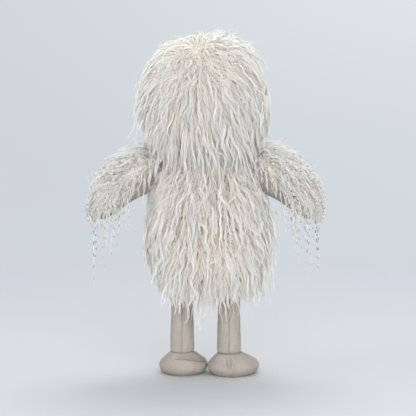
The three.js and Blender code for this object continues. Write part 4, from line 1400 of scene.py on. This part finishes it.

# %% [markdown]
# ## Joining the pieces to the CAD bodies
# Every piece is parented to the CAD body that it is sewn to and stands for that body's solid, but for the head's
# locks and the wing fringes: their places are baked into their meshes and they are joined to no body. The head's
# lowest locks lie on the torso, and the fringe's threads hang down from the wing's edge.

# %% How a piece joins its body
def dress(piece, body, slot_name, *stands_for, finish=None, bends=None):
    """Joins a piece to its body; a piece that is said to bend only has its place baked into its mesh and is joined to
    no body.
    """
    if finish is not None:
        piece.data.materials.clear()
        piece.data.materials.append(finish)
    if bends is not None:
        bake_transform(piece)
    else:
        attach(piece, body)
    if stands_for:
        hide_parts(*stands_for)
    return piece


print("ready to join pieces")

# %% [markdown]
# ## Filling and hidden parts
# The fillings can't be seen unless the owl is opened, but a part that is reused may be cut open or shown
# exploded. Each is made from its CAD solid: the loose triangles are merged, remeshed evenly and pressed into
# soft lumps, a little inside the solid so that it never shows through the cloth.

# %% Fibre, pellet and hard finishes
def lumpy_material(name, first, second, scale, bump, roughness):
    material, g, inputs = cloth_material(name, roughness=roughness, specular=0.25)
    fine = g.noise(g.place(), scale, 4.0)
    g.feed(inputs["Base Color"], g.colours(g.smooth(fine, 0.3, 0.7), first, second))
    g.feed(inputs["Normal"], g.bump(fine, 0.6, bump))
    return material


fibre = lumpy_material("fibre_filling", colour(226, 224, 219), colour(250, 249, 247), 300, 0.6 * mm, 0.95)
board = lumpy_material("insole_board", colour(146, 124, 96), colour(178, 156, 124), 420, 0.1 * mm, 0.9)
washer = lumpy_material("moulded_washer", colour(222, 219, 211), colour(238, 236, 230), 500, 0.03 * mm, 0.55)
head_cloth = lumpy_material("head_cloth", colour(206, 197, 184), colour(218, 211, 201), 700, 0.1 * mm, 0.95)
torso_cloth = lumpy_material("torso_cloth", colour(180, 166, 149), colour(200, 187, 171), 700, 0.1 * mm, 0.95)
wing_cloth = lumpy_material("wing_cloth", colour(200, 197, 192), colour(216, 214, 209), 700, 0.1 * mm, 0.95)
wire = lumpy_material("drawn_wire", colour(150, 151, 153), colour(186, 187, 190), 900, 0.02 * mm, 0.35)
wire.node_tree.nodes["Principled BSDF"].inputs["Metallic"].default_value = 1.0

pellets, g, inputs = cloth_material("pellets", roughness=0.5)
grains = g.add("ShaderNodeTexVoronoi", g.place(), into={"Scale": 330.0})
# Painted shade: each pellet is pale in its middle and darker towards the gaps between pellets.
g.feed(inputs["Base Color"], g.colours(g.smooth(grains, 0.2, 0.7), colour(236, 235, 231), colour(186, 184, 178)))
g.feed(inputs["Normal"], g.bump(grains, 1.0, 1.2 * mm, invert=True))
print("hidden finishes ready")

# %% Fillings from the CAD solids
def filled(name, node, inside, lump):
    mesh = nodes[node].data.copy()
    mesh.name = name
    mesh.materials.clear()
    merged = bmesh.new()
    merged.from_mesh(mesh)
    bmesh.ops.remove_doubles(merged, verts=merged.verts, dist=0.01 * mm)
    merged.to_mesh(mesh)
    merged.free()
    piece = new_piece(name, mesh)
    remesh = piece.modifiers.new("even", "REMESH")
    remesh.mode, remesh.voxel_size, remesh.use_smooth_shade = "VOXEL", 3 * mm, True
    settled(piece)
    return pressed(piece, lambda place: -inside - lump * (0.5 + 0.5 * noise_at(place, 70)))


stuffing_insets = dict(head=0.4, torso=0.4, left_wing=0.3, right_wing=0.3, left_leg=0.2, right_leg=0.2)
lump = 0.8 * mm
for body, inside in stuffing_insets.items():
    piece = filled(f"{body}_wadding", f"{body}_stuffing", inside * mm, lump)
    dress(piece, body, "filling", f"{body}_stuffing", finish=fibre)
for side in signs:
    piece = filled(f"{side}_foot_pellets", f"{side}_foot_weight", 2.5 * mm, lump)
    dress(piece, f"{side}_leg", "pellets", f"{side}_foot_weight", finish=pellets)

# %% Rides
onto_shoulders = ("torso", (0, 0, 300 * mm), (0, 0, 250 * mm))
for piece in head_locks + torso_locks:
    body, half = piece.name.split("_")[:2]
    dress(piece, body, "pile", f"{body}_{half}_pile", bends=onto_shoulders if body == "head" else None)
for (body, half), piece in backings.items():
    dress(piece, body, "pile", f"{body}_{half}_pile", finish=head_cloth if body == "head" else torso_cloth)
for side, made in wing_pieces.items():
    body = f"{side}_wing"
    dress(made["cover_backing"], body, "thread_pile", f"{body}_cover", finish=wing_cloth)
    for kind in wing_yarns:
        dress(made[kind], body, "thread_pile", f"{body}_cover")
    dress(made["lining_cloth"], body, "linen", f"{body}_lining", finish=linen)
    quarter = math.pi / 2 - 0.02
    tip, back, front = (edge_point(signs[side], turn) for turn in (0.0, quarter, -quarter))
    chord = tip - (back + front) / 2
    down = np.array([-signs[side] * abs(chord[2]), 0, -abs(chord[0])])
    down /= np.linalg.norm(down)
    start = tip + down * 2 * mm
    hanging = (f"{side}_fringe", start, start + down * 24 * mm)
    dress(made["fringe"], body, "thread_pile", f"{body}_fringe", bends=hanging)
for side, made in leg_pieces.items():
    for kind, node in (("leg", "leg_sleeve"), ("foot", "foot_upper"), ("sole", "foot_sole")):
        dress(made[kind], f"{side}_leg", "linen", f"{side}_{node}", finish=linen)
dress(base_panel, "torso", "linen", "torso_base_panel", finish=linen)
for side, made in face_pieces.items():
    dress(made["disc"], "head", "felt", f"{side}_face_disc", finish=felt)
    dress(made["eye"], "head", "eye", f"{side}_eye", finish=eye_gloss)
    dress(made["stitches"], "head", "felt")
dress(beak, "head", "beak_linen", "beak", finish=beak_linen)
for node, finish in (("eye_washer", washer), ("foot_insole", board), ("leg_stay", wire)):
    for side in signs:
        nodes[f"{side}_{node}"].data.materials.clear()
        nodes[f"{side}_{node}"].data.materials.append(finish)
